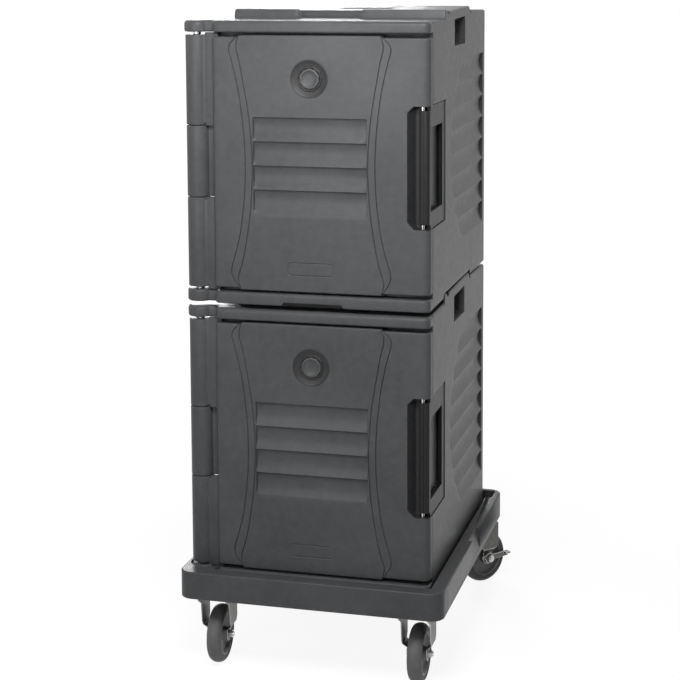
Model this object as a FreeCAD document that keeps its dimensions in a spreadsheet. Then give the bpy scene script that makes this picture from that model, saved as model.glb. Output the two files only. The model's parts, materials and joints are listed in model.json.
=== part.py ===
"""Enclosed meal tray cart: two insulated pan carriers stacked on a low caster dolly.

Millimetres. +Z is up, the doors face -Y, +X is to the right of someone who faces the doors.
The origin lies on the floor, under the middle of the cart's bounding box.
"""
import FreeCAD, Part
import math
import os
import Sketcher

doc = FreeCAD.newDocument("MealTrayCart")

# Driving dimensions: alias, millimetres (or degrees where the name says so), what it is.
SIZES = [
    ("dolly_width", 587, "dolly, left to right"),
    ("dolly_depth", 747, "dolly, front to back"),
    ("dolly_under", 169, "floor to the bottom of the dolly's wall"),
    ("dolly_deck", 204, "floor to the deck that carries the stack"),
    ("dolly_rim", 230, "floor to the top of the dolly's rim"),
    ("dolly_corner", 30, "radius of the dolly's upright corners"),
    ("dolly_skin", 6, "wall of the dolly's hollow moulding"),
    ("deck_clearance", 5, "gap round the carrier inside the rim"),
    ("ear_clearance", 2, "gap round the hinge ear inside the rim"),
    ("back_rim", 14, "thickness of the rim behind the open back pocket"),
    ("back_pocket", 53, "length of the open pocket at the back of the deck"),
    ("margin_right", 35.5, "carrier's right side to the dolly's right side"),
    ("margin_front", 38.5, "carrier's front to the dolly's front"),
    ("carrier_width", 472, "carrier's body, left to right"),
    ("carrier_depth", 645, "carrier, front of the flanges to the back"),
    ("carrier_height", 606, "carrier, underside to the top of its front ledge"),
    ("carrier_gap", 10, "daylight between the stacked carriers at the front"),
    ("carrier_skin", 5, "wall of the carrier's double-walled moulding"),
    ("carrier_corner", 14, "radius of the carrier's upright back corners"),
    ("flange_reach", 34, "how far the flanges reach in front of the body's face"),
    ("flange_top", 24.5, "thickness of the top flange"),
    ("flange_bottom", 26, "thickness of the bottom flange"),
    ("flange_corner", 14, "radius of the flanges' front corners"),
    ("notch_width", 130, "hand notch under the bottom flange, left to right"),
    ("notch_height", 7, "hand notch under the bottom flange, its height"),
    ("platform_rise", 20, "stacking platform above the front ledge"),
    ("platform_front", 160, "front of the flanges to the stacking platform"),
    ("platform_depth", 285, "stacking platform, front to back"),
    ("platform_notch_width", 118, "gap in the platform's front ridge"),
    ("platform_notch_depth", 45, "depth of that gap, front to back"),
    ("ridge_depth", 26, "front ridge of the platform, front to back"),
    ("ridge_drop", 5, "how far the channel behind the ridge lies below it"),
    ("channel_depth", 16, "channel behind the ridge, front to back"),
    ("back_block_gap", 13, "valley between the platform and the back block"),
    ("back_block_rise", 8, "back block above the front ledge"),
    ("nest_clearance", 10, "room round the platform in the nest under a carrier"),
    ("side_wall", 63, "carrier's side to the cabin"),
    ("roof_wall", 70, "front ledge down to the cabin's ceiling"),
    ("back_wall", 48, "cabin to the carrier's back"),
    ("cavity_floor", 62, "carrier's underside to the cabin's floor"),
    ("rail_reach", 14, "how far a pan rail stands out of the cabin's wall"),
    ("rail_height", 12, "height of a pan rail"),
    ("rail_first", 50, "cabin's floor to the first pan rail"),
    ("rail_last", 64, "cabin's ceiling down to the underside of the top pan rail"),
    ("rail_inset", 12, "pan rail's ends to the cabin's front and back"),
    ("grip_width", 120, "side grip pocket, front to back"),
    ("grip_height", 53, "side grip pocket, bottom to top"),
    ("grip_depth", 30, "side grip pocket, how deep"),
    ("grip_front", 265, "front of the flanges to the grip pocket"),
    ("grip_below_top", 11, "front ledge down to the grip pocket"),
    ("side_louvre_first", 103, "carrier's underside to the lowest side louvre"),
    ("side_louvre_top", 97, "front ledge down to the highest side louvre"),
    ("side_louvre_front", 217, "front of the flanges to the side louvres"),
    ("side_louvre_back", 35, "side louvres to the carrier's back"),
    ("louvre_depth", 7, "how deep a louvre is scooped"),
    ("door_thickness", 27, "door's slab, front to back"),
    ("mouth_margin", 20, "cabin's mouth past the cabin, all round"),
    ("mouth_depth", 29, "depth of the cabin's widened mouth"),
    ("plug_depth", 26, "door's plug behind its slab"),
    ("plug_gap", 3, "door's plug to the cabin's mouth, all round"),
    ("door_setback", 4, "flange's front to the door's face"),
    ("door_gap", 5.3, "door to the flanges above and below it"),
    ("door_round", 14, "radius of the door's upright front edges"),
    ("door_round_back", 8, "radius of the door's upright left back edge"),
    ("panel_offset", 22.5, "pressed panel's middle, left of the body's middle"),
    ("panel_half", 155, "half the width of the door's pressed panel"),
    ("panel_hang", 4, "how far the pressed panel reaches past the door's sides, up and down"),
    ("door_louvre_width", 250, "door louvres, left to right"),
    ("door_louvre_pitch", 51.5, "height of one door louvre"),
    ("door_louvre_first", 197, "carrier's underside to the lowest door louvre"),
    ("door_foam_front", 12.5, "door's face to its foam"),
    ("door_foam_side", 18, "door's edges to its foam"),
    ("gasket_width", 9, "width of the gasket's face"),
    ("gasket_seat", 2, "depth of the gasket's groove in the door"),
    ("seal_gap", 0.3, "gap left between a part that moves and what it closes on"),
    ("hinge_out", 43, "hinge axis, left of the body's side"),
    ("hinge_back", 35, "hinge axis, behind the flanges' front"),
    ("ear_radius", 27, "radius of the flanges' hinge ears"),
    ("ear_arm_front", 22, "flanges' front to the front of an ear's arm"),
    ("knuckle_radius", 25, "radius of the hinge knuckles"),
    ("knuckle_low", 227, "carrier's underside to the fixed knuckle"),
    ("knuckle_high", 381, "carrier's underside to the top of the fixed knuckle"),
    ("knuckle_gap", 1.2, "gap above and below the fixed knuckle"),
    ("arm_front_gap", 6, "door's back to the arm of the fixed knuckle"),
    ("arm_thickness", 26, "arm of the fixed knuckle, front to back"),
    ("knuckle_web", 19, "thickness of the web that carries a door knuckle"),
    ("hinge_pin_radius", 6, "radius of the hinge pin"),
    ("hinge_pin_cover", 4, "plastic over the hinge pin's upper end"),
    ("washer_radius", 9, "radius of the washers on the hinge pin"),
    ("running_gap", 0.05, "radial play of a shaft in its bore"),
    ("latch_pocket_width", 48, "latch pocket in the door's face, left to right"),
    ("latch_pocket_depth", 19, "latch pocket in the door's face, how deep"),
    ("latch_side_depth", 14, "latch pocket in the side, how deep"),
    ("latch_side_end", 165, "flange's front to the back of the side pocket"),
    ("latch_low", 172, "carrier's underside to the latch pocket"),
    ("latch_high", 434, "carrier's underside to the top of the latch pocket"),
    ("latch_gap", 2, "wing of the latch to the pocket's ends"),
    ("latch_axis_in", 16.5, "latch axis, inside the door's right side"),
    ("latch_axis_back", 9, "latch axis, behind the door's face"),
    ("latch_barrel_radius", 7.5, "radius of the latch's barrel"),
    ("latch_barrel_gap", 12, "barrel's ends to the pocket's ends"),
    ("latch_wing", 9, "thickness of the latch's wing"),
    ("latch_flush", 2, "wing below the carrier's side"),
    ("latch_wing_gap", 3, "wing's tip to the back of the side pocket"),
    ("latch_grip", 22, "width of the grip along the wing's tip"),
    ("latch_bridge_low", 36, "height of the bridge below the finger opening"),
    ("latch_bridge_high", 46, "height of the bridge above the finger opening"),
    ("latch_finger_front", 18, "door's face to the finger opening"),
    ("latch_pin_radius", 3.5, "radius of the latch pin"),
    ("latch_pin_seat", 12, "how far the latch pin sits in the door"),
    ("strike_thickness", 1.5, "thickness of a strike plate"),
    ("strike_length", 40, "strike plate, front to back"),
    ("strike_height", 30, "strike plate, bottom to top"),
    ("strike_inset", 10, "strike plate to the edges of the side pocket"),
    ("screw_radius", 2, "radius of a strike screw"),
    ("screw_head_radius", 4, "radius of a strike screw's head"),
    ("screw_head", 0.9, "height of a strike screw's head"),
    ("screw_length", 12, "length of a strike screw in the wall"),
    ("vent_below_top", 121, "front ledge down to the vent's middle"),
    ("vent_dish_radius", 40, "radius of the dished recess round the vent"),
    ("vent_dish_depth", 8, "depth of that recess"),
    ("vent_bezel_radius", 27.5, "radius of the vent's bezel"),
    ("vent_bezel_wall", 4, "width of the bezel's raised ring"),
    ("vent_bezel_rise", 5, "height of the bezel's raised ring"),
    ("vent_base", 2, "thickness of the bezel's floor"),
    ("vent_tube_radius", 14, "radius of the tube through the door"),
    ("vent_stem_radius", 8, "radius of the vent cap's stem"),
    ("vent_stem_length", 42, "length of the vent cap's stem"),
    ("vent_cap_radius", 22.5, "radius of the vent cap"),
    ("vent_cap_height", 4.7, "thickness of the vent cap"),
    ("vent_grip_radius", 17, "ten-sided grip recess in the vent cap, its radius"),
    ("vent_grip_depth", 2.4, "depth of that recess"),
    ("caster_inset_x", 68, "dolly's side to a caster's kingpin"),
    ("caster_inset_y", 50, "dolly's front or back to a caster's kingpin"),
    ("caster_recess", 15, "depth of the recess under the dolly for a caster's plate"),
    ("caster_recess_margin", 4, "recess round a caster's plate"),
    ("strap_groove", 90, "strap groove in each side of the dolly, front to back"),
    ("strap_groove_depth", 10, "depth of the strap groove at the rim"),
    ("strap_groove_back", 22, "dolly's middle to the strap groove's middle"),
    ("strap_groove_low", 184, "floor to the strap groove's lower end"),
    ("plate_width", 92, "caster plate, left to right"),
    ("plate_depth", 64, "caster plate, front to back"),
    ("plate_thickness", 3.5, "thickness of a caster plate"),
    ("bolt_span_x", 74, "caster bolts, left to right"),
    ("bolt_span_y", 46, "caster bolts, front to back"),
    ("bolt_radius", 4, "radius of a caster bolt"),
    ("bolt_hole_gap", 0.2, "play of a caster bolt in its plate"),
    ("bolt_head_radius", 7.5, "caster bolt's head, across its corners, halved"),
    ("bolt_head", 5.3, "height of a caster bolt's head"),
    ("bolt_length", 16, "length of a caster bolt in the dolly"),
    ("race_radius", 27, "radius of a caster's upper race"),
    ("race_height", 6.5, "height of a caster's upper race"),
    ("ball_room", 7, "gap between a caster's races"),
    ("ball_circle", 18, "radius of the circle of balls"),
    ("dish_radius", 33, "radius of a fork's dish"),
    ("dish_thickness", 4, "thickness of a fork's dish"),
    ("skirt_radius", 31, "radius of the dust skirt on a fork"),
    ("skirt_wall", 2.5, "wall of the dust skirt"),
    ("skirt_height", 6, "height of the dust skirt"),
    ("kingpin_radius", 6, "radius of a kingpin"),
    ("kingpin_head_radius", 11, "radius of a kingpin's head"),
    ("kingpin_head", 4, "height of a kingpin's head"),
    ("wheel_radius", 63.5, "radius of a wheel"),
    ("wheel_width", 32, "width of a tyre"),
    ("tread_round", 11, "how far a tyre's shoulders are rounded"),
    ("core_radius", 44, "radius of a wheel's core"),
    ("core_rim", 6, "thickness of the core's rim"),
    ("core_rim_inset", 2, "core's rim inside the tyre's sides"),
    ("core_web", 10, "thickness of the core's web"),
    ("hub_radius", 14, "radius of a wheel's hub"),
    ("trail", 38, "wheel's axle behind the kingpin"),
    ("axle_radius", 5, "radius of an axle bolt"),
    ("axle_head_radius", 9.2, "axle bolt's head, across its corners, halved"),
    ("axle_head", 6, "height of an axle bolt's head"),
    ("axle_nut", 8, "height of an axle nut"),
    ("axle_tail", 3, "axle bolt's end past its nut"),
    ("leg_gap", 1.8, "fork leg to the tyre"),
    ("leg_thickness", 2.8, "thickness of a fork's leg"),
    ("leg_front", 24, "kingpin to the front of a fork's crown"),
    ("leg_back", 61, "kingpin to the back edge of a fork's leg"),
    ("leg_crown_back", 40, "kingpin to the back of a fork's crown"),
    ("leg_upper_out", 33, "kingpin to the outside of a leg's upper part"),
    ("leg_front_low", 6, "kingpin to a leg's front edge over the joggle"),
    ("joggle_high", 26, "axle to the upper end of a leg's joggle"),
    ("joggle_low", 13, "axle to the lower end of a leg's joggle"),
    ("leg_eye_radius", 16, "radius of a leg round its axle"),
    ("leg_throat", 10, "height of the straight front edge under a fork's crown"),
    ("brake_thickness", 4.5, "thickness of a brake lever"),
    ("brake_eye_radius", 12.5, "radius of a brake lever round its axle"),
    ("brake_reach", 62, "axle to the end of a brake lever"),
    ("brake_tail", 22, "axle to the end of the release tab"),
    ("brake_bar", 13, "height of the brake lever's bar"),
    ("brake_pad_length", 15, "brake pedal, along the lever"),
    ("brake_pad_width", 11, "brake pedal, across the lever"),
    ("brake_lift", 7, "pedal's underside above the axle"),
    ("swivel_front_left_deg", 2, "front left caster's swivel"),
    ("swivel_rear_deg", 37.6, "rear casters' swivel, each outwards"),
]

sheet = doc.addObject("Spreadsheet::Sheet", "Sizes")
for row, (alias, amount, meaning) in enumerate(SIZES, start=1):
    sheet.set(f"A{row}", meaning)
    sheet.set(f"B{row}", str(amount))
    sheet.setAlias(f"B{row}", alias)
doc.recompute()


class Size:
    """A length that knows its value and the sheet expression that gives it."""

    def __init__(self, value, text):
        self.value = float(value)
        self.text = text

    @staticmethod
    def of(other):
        """Turn a plain number into a Size."""
        return other if isinstance(other, Size) else Size(other, f"({float(other)})")

    def __add__(self, other):
        other = Size.of(other)
        return Size(self.value + other.value, f"({self.text} + {other.text})")

    def __sub__(self, other):
        other = Size.of(other)
        return Size(self.value - other.value, f"({self.text} - {other.text})")

    def __mul__(self, other):
        other = Size.of(other)
        return Size(self.value * other.value, f"({self.text} * {other.text})")

    def __truediv__(self, other):
        other = Size.of(other)
        return Size(self.value / other.value, f"({self.text} / {other.text})")

    def __neg__(self):
        return Size(-self.value, f"(0 - {self.text})")

    def __radd__(self, other):
        return Size.of(other) + self

    def __rsub__(self, other):
        return Size.of(other) - self

    def __rmul__(self, other):
        return Size.of(other) * self


class Sheet:
    """Every driving dimension as a Size, under its alias."""


S = Sheet()
for alias, amount, meaning in SIZES:
    setattr(S, alias, Size(amount, f"Sizes.{alias}"))
ZERO = Size(0, "0")


def cosine(angle):
    """Cosine of a Size in degrees."""
    return Size(math.cos(math.radians(angle.value)), f"cos({angle.text})")


def sine(angle):
    """Sine of a Size in degrees."""
    return Size(math.sin(math.radians(angle.value)), f"sin({angle.text})")


# ---------------------------------------------------------------- construction helpers

def bind(thing, **properties):
    """Bind properties of an object to sheet expressions."""
    for name, size in properties.items():
        thing.setExpression(name, Size.of(size).text)


def move(thing, x=ZERO, y=ZERO, z=ZERO):
    """Bind an object's position."""
    for axis, size in zip("xyz", (x, y, z)):
        thing.setExpression(f"Placement.Base.{axis}", Size.of(size).text)
    return thing


def box(name, x, y, z):
    """Box between two limits along each axis."""
    item = doc.addObject("Part::Box", name)
    bind(item, Length=x[1] - x[0], Width=y[1] - y[0], Height=z[1] - z[0])
    return move(item, x[0], y[0], z[0])


TURNS = {
    "X": FreeCAD.Rotation(FreeCAD.Vector(0, 1, 0), 90),
    "Y": FreeCAD.Rotation(FreeCAD.Vector(1, 0, 0), -90),
    "Z": FreeCAD.Rotation(),
}


def rod(name, axis, radius, start, length):
    """Cylinder along an axis, from the point start."""
    item = doc.addObject("Part::Cylinder", name)
    item.Placement.Rotation = TURNS[axis]
    bind(item, Radius=radius, Height=length)
    return move(item, *start)


def hexagon(name, axis, radius, start, length, sides=6):
    """Regular prism along an axis; radius is to its corners."""
    item = doc.addObject("Part::Prism", name)
    item.Polygon = sides
    item.Placement.Rotation = TURNS[axis]
    bind(item, Circumradius=radius, Height=length)
    return move(item, *start)


def fuse(name, pieces):
    """One solid out of pieces that touch or overlap."""
    item = doc.addObject("Part::MultiFuse", name)
    item.Shapes = pieces
    item.Refine = True
    return item


def cut(name, base, tools):
    """Base without the tools."""
    item = doc.addObject("Part::Cut", name)
    item.Base = base
    item.Tool = tools[0] if len(tools) == 1 else fuse(f"{name}_tools", tools)
    item.Refine = True
    return item


def overlap(name, pieces):
    """What two pieces have in common."""
    item = doc.addObject("Part::MultiCommon", name)
    item.Shapes = pieces
    return item


def rounded(name, base, corners):
    """Round upright edges of a box; corners maps (x side, y side) to a radius Size."""
    doc.recompute()
    bounds = base.Shape.BoundBox
    middle = bounds.Center
    edges = []
    for number, edge in enumerate(base.Shape.Edges, start=1):
        start, end = (vertex.Point for vertex in edge.Vertexes)
        upright = abs(start.x - end.x) + abs(start.y - end.y) < 0.001
        side = (1 if start.x > middle.x else -1, 1 if start.y > middle.y else -1)
        if upright and side in corners:
            edges.append((number, corners[side].value, corners[side].value))
    item = doc.addObject("Part::Fillet", name)
    item.Base = base
    item.Edges = edges
    return item


def all_corners(radius):
    """The same radius for all four upright edges."""
    return {(i, j): radius for i in (-1, 1) for j in (-1, 1)}


def profile(body, plane, loops):
    """Sketch of closed polygons on one of the body's own planes; points are pairs of Sizes."""
    item = body.newObject("Sketcher::SketchObject", f"{body.Name}_profile")
    face = [feature for feature in body.Origin.OriginFeatures if feature.Role == plane][0]
    item.AttachmentSupport = [(face, "")]
    item.MapMode = "FlatFace"
    for loop in loops:
        first = item.GeometryCount
        corners = [(Size.of(u), Size.of(v)) for u, v in loop]
        spots = [FreeCAD.Vector(u.value, v.value, 0) for u, v in corners]
        for start, end in zip(spots, spots[1:] + spots[:1]):
            item.addGeometry(Part.LineSegment(start, end))
        for step in range(len(loop)):
            after = first + (step + 1) % len(loop)
            item.addConstraint(Sketcher.Constraint("Coincident", first + step, 2, after, 1))
        for step, corner in enumerate(corners):
            for kind, size in zip(("DistanceX", "DistanceY"), corner):
                mark = Sketcher.Constraint(kind, -1, 1, first + step, 1, size.value)
                item.setExpression(f"Constraints[{item.addConstraint(mark)}]", size.text)
    return item


PAD_PLANES = {"X": "YZ_Plane", "Y": "XZ_Plane", "Z": "XY_Plane"}


def padded(name, axis, loops, length):
    """Polygons padded along an axis: up from their plane, or towards -Y for axis Y."""
    body = doc.addObject("PartDesign::Body", name)
    pad = body.newObject("PartDesign::Pad", f"{name}_pad")
    pad.Profile = profile(body, PAD_PLANES[axis], loops)
    bind(pad, Length=length)
    body.Tip = pad
    return body


def turned(name, axis, outline):
    """Solid turned about an axis; the outline's points are (radius, place along the axis)."""
    body = doc.addObject("PartDesign::Body", name)
    turn = body.newObject("PartDesign::Revolution", f"{name}_turn")
    if axis == "X":
        sketch = profile(body, "XY_Plane", [[(along, radius) for radius, along in outline]])
        turn.ReferenceAxis = (sketch, ["H_Axis"])
    else:
        sketch = profile(body, "XZ_Plane" if axis == "Z" else "XY_Plane", [outline])
        turn.ReferenceAxis = (sketch, ["V_Axis"])
    turn.Profile = sketch
    turn.Angle = 360
    body.Tip = turn
    return body


nodes = []


def node(label, pieces, x=ZERO, y=ZERO, z=ZERO, swivel=None):
    """One sub-part of the cart: pieces of its own, placed in the cart's frame."""
    item = doc.addObject("Part::Compound", f"node_{label}")
    item.Label = label
    item.Links = pieces
    if swivel is not None:
        item.Placement.Rotation = FreeCAD.Rotation(FreeCAD.Vector(0, 0, 1), swivel.value)
    nodes.append(move(item, x, y, z))
    return item


# ---------------------------------------------------------------- places that pieces share

# Carrier's own frame: x = 0 in the body's middle, y = 0 at the flanges' front, z = 0 underneath.
RIGHT = S.carrier_width / 2
LEFT = -RIGHT
SEAT = S.flange_reach
DOOR_FACE = S.door_setback
DOOR_BACK = DOOR_FACE + S.door_thickness
PLUG_BACK = DOOR_BACK + S.plug_depth
DOOR_LOW = S.flange_bottom + S.door_gap
DOOR_HIGH = S.carrier_height - S.flange_top - S.door_gap
HINGE_X = LEFT - S.hinge_out
HINGE_Y = S.hinge_back
CAVITY_HALF = RIGHT - S.side_wall
MOUTH_BACK = SEAT + S.mouth_depth
CAVITY_BACK = S.carrier_depth - S.back_wall
CAVITY_TOP = S.carrier_height - S.roof_wall
PLATFORM_BACK = S.platform_front + S.platform_depth
NEST_RISE = S.platform_rise - S.carrier_gap
GRIP_TOP = S.carrier_height - S.grip_below_top
PANEL_X = -S.panel_offset
LATCH_X = RIGHT - S.latch_axis_in
LATCH_Y = DOOR_FACE + S.latch_axis_back
SIDE_FLOOR = RIGHT - S.latch_side_depth
WING_OUT = RIGHT - S.latch_flush
WING_IN = WING_OUT - S.latch_wing
WING_TIP = S.latch_side_end - S.latch_wing_gap
RAILS = 6
SIDE_LOUVRES = 8
DOOR_LOUVRES = 4
VENT_SEAT = DOOR_FACE + S.vent_dish_depth
VENT_Z = S.carrier_height - S.vent_below_top
RAIL_LOW = S.cavity_floor + S.rail_first
RAIL_PITCH = (CAVITY_TOP - S.rail_last - RAIL_LOW) / (RAILS - 1)
SIDE_PITCH = (S.carrier_height - S.side_louvre_top - S.side_louvre_first) / SIDE_LOUVRES

# Caster's own frame: the kingpin stands on x = 0, y = 0, the floor is z = 0, the wheel trails to +y.
PLATE_TOP = S.dolly_under + S.caster_recess
PLATE_LOW = PLATE_TOP - S.plate_thickness
RACE_LOW = PLATE_LOW - S.race_height
DISH_TOP = RACE_LOW - S.ball_room
DISH_LOW = DISH_TOP - S.dish_thickness
LEG_IN = S.wheel_width / 2 + S.leg_gap
LEG_OUT = LEG_IN + S.leg_thickness
BALLS = 12

# The rear wheels, swivelled outwards, stand out behind the dolly: half of that centres the cart.
SHOULDER = S.tread_round * 0.3
REAR_REACH = ((S.trail + S.wheel_radius - SHOULDER) * cosine(S.swivel_rear_deg)
              + (S.wheel_width / 2 - SHOULDER) * sine(S.swivel_rear_deg) - S.caster_inset_y)
DOLLY_Y = -REAR_REACH / 2
CARRIER_X = S.dolly_width / 2 - S.margin_right - RIGHT
CARRIER_Y = DOLLY_Y - S.dolly_depth / 2 + S.margin_front
STACK = {"lower": S.dolly_deck, "upper": S.dolly_deck + S.carrier_height + S.carrier_gap}


# ---------------------------------------------------------------- the carrier

def flange(name, low, high):
    """Front flange over or under the door, with rounded front corners."""
    plain = box(f"{name}_box", (LEFT, RIGHT), (ZERO, SEAT), (low, high))
    return rounded(name, plain, {(-1, -1): S.flange_corner, (1, -1): S.flange_corner})


def hinge_lug(name, radius, front, back, heights):
    """Hinge lug: an arm out of the body's left side with a barrel round the hinge axis."""
    low, high = heights
    arm = box(f"{name}_arm", (HINGE_X, LEFT), (front, back), heights)
    barrel = rod(f"{name}_barrel", "Z", radius, (HINGE_X, HINGE_Y, low), high - low)
    bore = rod(f"{name}_bore", "Z", S.hinge_pin_radius, (HINGE_X, HINGE_Y, low - 1),
               high - low + 1 - (S.hinge_pin_cover if name == "upper_ear" else -1))
    return cut(name, fuse(f"{name}_solid", [arm, barrel]), [bore])


def hinge_lugs():
    """Both ears beside the flanges, and the fixed middle knuckle."""
    ear = (S.ear_arm_front, HINGE_Y + S.ear_radius)
    knuckle_front = DOOR_BACK + S.arm_front_gap
    return [hinge_lug("lower_ear", S.ear_radius, *ear, (ZERO, S.flange_bottom)),
            hinge_lug("fixed_knuckle", S.knuckle_radius, knuckle_front,
                      knuckle_front + S.arm_thickness, (S.knuckle_low, S.knuckle_high)),
            hinge_lug("upper_ear", S.ear_radius, *ear,
                      (S.carrier_height - S.flange_top, S.carrier_height))]


def mouth(name, margin, front, back):
    """Box round the cabin's outline, grown by a margin: the mouth, the plug, or room for either."""
    return box(name, (-CAVITY_HALF - margin, CAVITY_HALF + margin), (front, back),
               (S.cavity_floor - margin, CAVITY_TOP + margin))


def platform():
    """Raised stacking platform on the roof, with its front ridge, valley and back block."""
    top = S.carrier_height
    high = top + S.platform_rise
    sides = (LEFT, RIGHT)
    plate = box("platform_plate", sides, (S.platform_front, PLATFORM_BACK), (top - 1, high))
    back = box("back_block", sides,
               (PLATFORM_BACK + S.back_block_gap, S.carrier_depth - S.carrier_corner),
               (top - 1, top + S.back_block_rise))
    middle = PANEL_X + 10
    gap = box("ridge_gap", (middle - S.platform_notch_width / 2, middle + S.platform_notch_width / 2),
              (S.platform_front - 1, S.platform_front + S.platform_notch_depth), (top, high + 1))
    channel_y = S.platform_front + S.ridge_depth
    channel = box("ridge_channel", (LEFT - 1, RIGHT + 1), (channel_y, channel_y + S.channel_depth),
                  (high - S.ridge_drop, high + 1))
    return [cut("platform", plate, [gap, channel]), back]


SCOOP = ((1.0, 0.0), (0.94, 0.45), (0.78, 0.85), (0.58, 1.0), (0.36, 0.9), (0.16, 0.5), (0.0, 0.0))


def scoops(face, inward, first, pitch, count):
    """Outline of stacked louvres: open 1 mm outside the face, each a scoop between two creases."""
    outline = [(face - inward, first), (face - inward, first + pitch * count)]
    for step in reversed(range(count)):
        low = first + pitch * step
        for share, depth in SCOOP[(0 if step == count - 1 else 1):]:
            outline.append((face + inward * S.louvre_depth * depth, low + pitch * share))
    return outline


def side_louvres():
    """Cutters for the scooped louvres on both sides."""
    loops = [scoops(side * RIGHT, -side, S.side_louvre_first, SIDE_PITCH, SIDE_LOUVRES)
             for side in (-1, 1)]
    length = S.carrier_depth - S.side_louvre_back - S.side_louvre_front
    return move(padded("side_louvres", "Y", loops, length), y=S.carrier_depth - S.side_louvre_back)


def grip_pockets(name, grow=ZERO):
    """Hand pockets high on both sides, or the larger room that the foam leaves round them."""
    pockets = []
    for side, limits in (("left", (LEFT - 1, LEFT + S.grip_depth + grow)),
                         ("right", (RIGHT - S.grip_depth - grow, RIGHT + 1))):
        pockets.append(box(f"{name}_{side}", limits,
                           (S.grip_front - grow, S.grip_front + S.grip_width + grow),
                           (GRIP_TOP - S.grip_height - grow, GRIP_TOP + grow)))
    return pockets


def pan_rails():
    """Rails that carry the pans' rims, in pairs up the cabin's side walls."""
    rails = []
    for step in range(RAILS):
        low = RAIL_LOW + RAIL_PITCH * step
        for side, limits in (("left", (-CAVITY_HALF - 1, -CAVITY_HALF + S.rail_reach)),
                             ("right", (CAVITY_HALF - S.rail_reach, CAVITY_HALF + 1))):
            rails.append(box(f"rail_{side}_{step}", limits,
                             (MOUTH_BACK + S.rail_inset, CAVITY_BACK - S.rail_inset),
                             (low, low + S.rail_height)))
    return rails


def body_foam():
    """Insulation between the body's skins: the walls less a skin all round every hollow."""
    skin = S.carrier_skin
    side = RIGHT - skin - S.louvre_depth
    walls = rounded("body_foam_block", box(
        "body_foam_box", (-side, side), (SEAT + skin, S.carrier_depth - skin),
        (NEST_RISE + skin, S.carrier_height - skin)),
        {(-1, 1): S.carrier_corner - skin, (1, 1): S.carrier_corner - skin})
    cabin = mouth("body_foam_cabin", skin, SEAT, CAVITY_BACK + skin)
    opening = mouth("body_foam_mouth", S.mouth_margin + skin, SEAT, MOUTH_BACK + skin)
    pocket = (S.latch_low - skin, S.latch_high + skin)
    strike = box("body_foam_strike", (SIDE_FLOOR - skin - S.screw_length, RIGHT),
                 (SEAT, S.latch_side_end + skin), pocket)
    edge = box("body_foam_edge", (CAVITY_HALF, RIGHT), (SEAT, MOUTH_BACK + skin), pocket)
    return cut("body_foam", walls,
               [cabin, opening, strike, edge] + grip_pockets("body_foam_grip", skin))


def screw_spots():
    """Middle (y, z) of each strike screw."""
    back = S.latch_side_end - S.strike_inset
    spots = []
    for low in strike_lows():
        for place in (0.25, 0.75):
            spots.append((back - S.strike_length * place, low + S.strike_height / 2))
    return spots


def strike_lows():
    """Lower edge of each strike plate."""
    return [S.latch_low + S.strike_inset, S.latch_high - S.strike_inset - S.strike_height]


def liner_room():
    """What the cabin's liner takes up of the body, its hollow included."""
    skin = S.carrier_skin
    return [mouth("liner_rim", S.mouth_margin + skin, SEAT, MOUTH_BACK + skin),
            mouth("liner_tub", skin, SEAT, CAVITY_BACK + skin)]


def cabin_liner(room):
    """Inner moulding: the cabin's walls, its widened mouth and the pan rails."""
    cabin = mouth("cabin", ZERO, SEAT - 1, CAVITY_BACK)
    opening = mouth("cabin_mouth", S.mouth_margin, SEAT - 1, MOUTH_BACK)
    hollowed = cut("liner_walls", fuse("liner_solid", room), [cabin, opening])
    return fuse("cabin_liner", [hollowed] + pan_rails())


def body_shell(foam, room):
    """Outer moulding of the body, round the liner and the hollow that the foam fills."""
    block = rounded("body_block", box(
        "body_box", (LEFT, RIGHT), (SEAT, S.carrier_depth), (ZERO, S.carrier_height)),
        {(-1, 1): S.carrier_corner, (1, 1): S.carrier_corner})
    top_flange = flange("top_flange", S.carrier_height - S.flange_top, S.carrier_height)
    outer = fuse("body_outer", [block, top_flange, flange("bottom_flange", ZERO, S.flange_bottom)]
                 + platform())
    nest = box("nest", (LEFT - 1, RIGHT + 1),
               (S.platform_front - S.nest_clearance, PLATFORM_BACK + S.nest_clearance),
               (Size.of(-1), NEST_RISE))
    middle = PANEL_X + 5
    notch = box("front_notch", (middle - S.notch_width / 2, middle + S.notch_width / 2),
                (Size.of(-1), SEAT), (Size.of(-1), S.notch_height))
    side = box("latch_side_pocket", (SIDE_FLOOR, RIGHT + 1), (SEAT - 1, S.latch_side_end),
               (S.latch_low, S.latch_high))
    screws = [rod(f"screw_hole_{count}", "X", S.screw_radius, (SIDE_FLOOR - S.screw_length, y, z),
                  S.screw_length) for count, (y, z) in enumerate(screw_spots())]
    return cut("body_shell", outer, [nest, notch, side, side_louvres()] + grip_pockets("grip")
               + screws + room + [foam])


def hinge_pin():
    """Steel pin through both ears and all three knuckles."""
    return rod("hinge_pin", "Z", S.hinge_pin_radius, (HINGE_X, HINGE_Y, ZERO + 1),
               S.carrier_height - S.hinge_pin_cover - 1)


def hinge_washers():
    """Washers on the pin, above and below each door knuckle."""
    play = S.seal_gap
    spans = [(S.flange_bottom, DOOR_LOW - play),
             (S.knuckle_low - S.knuckle_gap + play, S.knuckle_low),
             (S.knuckle_high, S.knuckle_high + S.knuckle_gap - play),
             (DOOR_HIGH + play, S.carrier_height - S.flange_top)]
    bore = S.hinge_pin_radius
    return [move(turned(f"hinge_washer_{count}", "Z", [
        (bore, low), (S.washer_radius, low), (S.washer_radius, high), (bore, high)]),
        HINGE_X, HINGE_Y) for count, (low, high) in enumerate(spans)]


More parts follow.
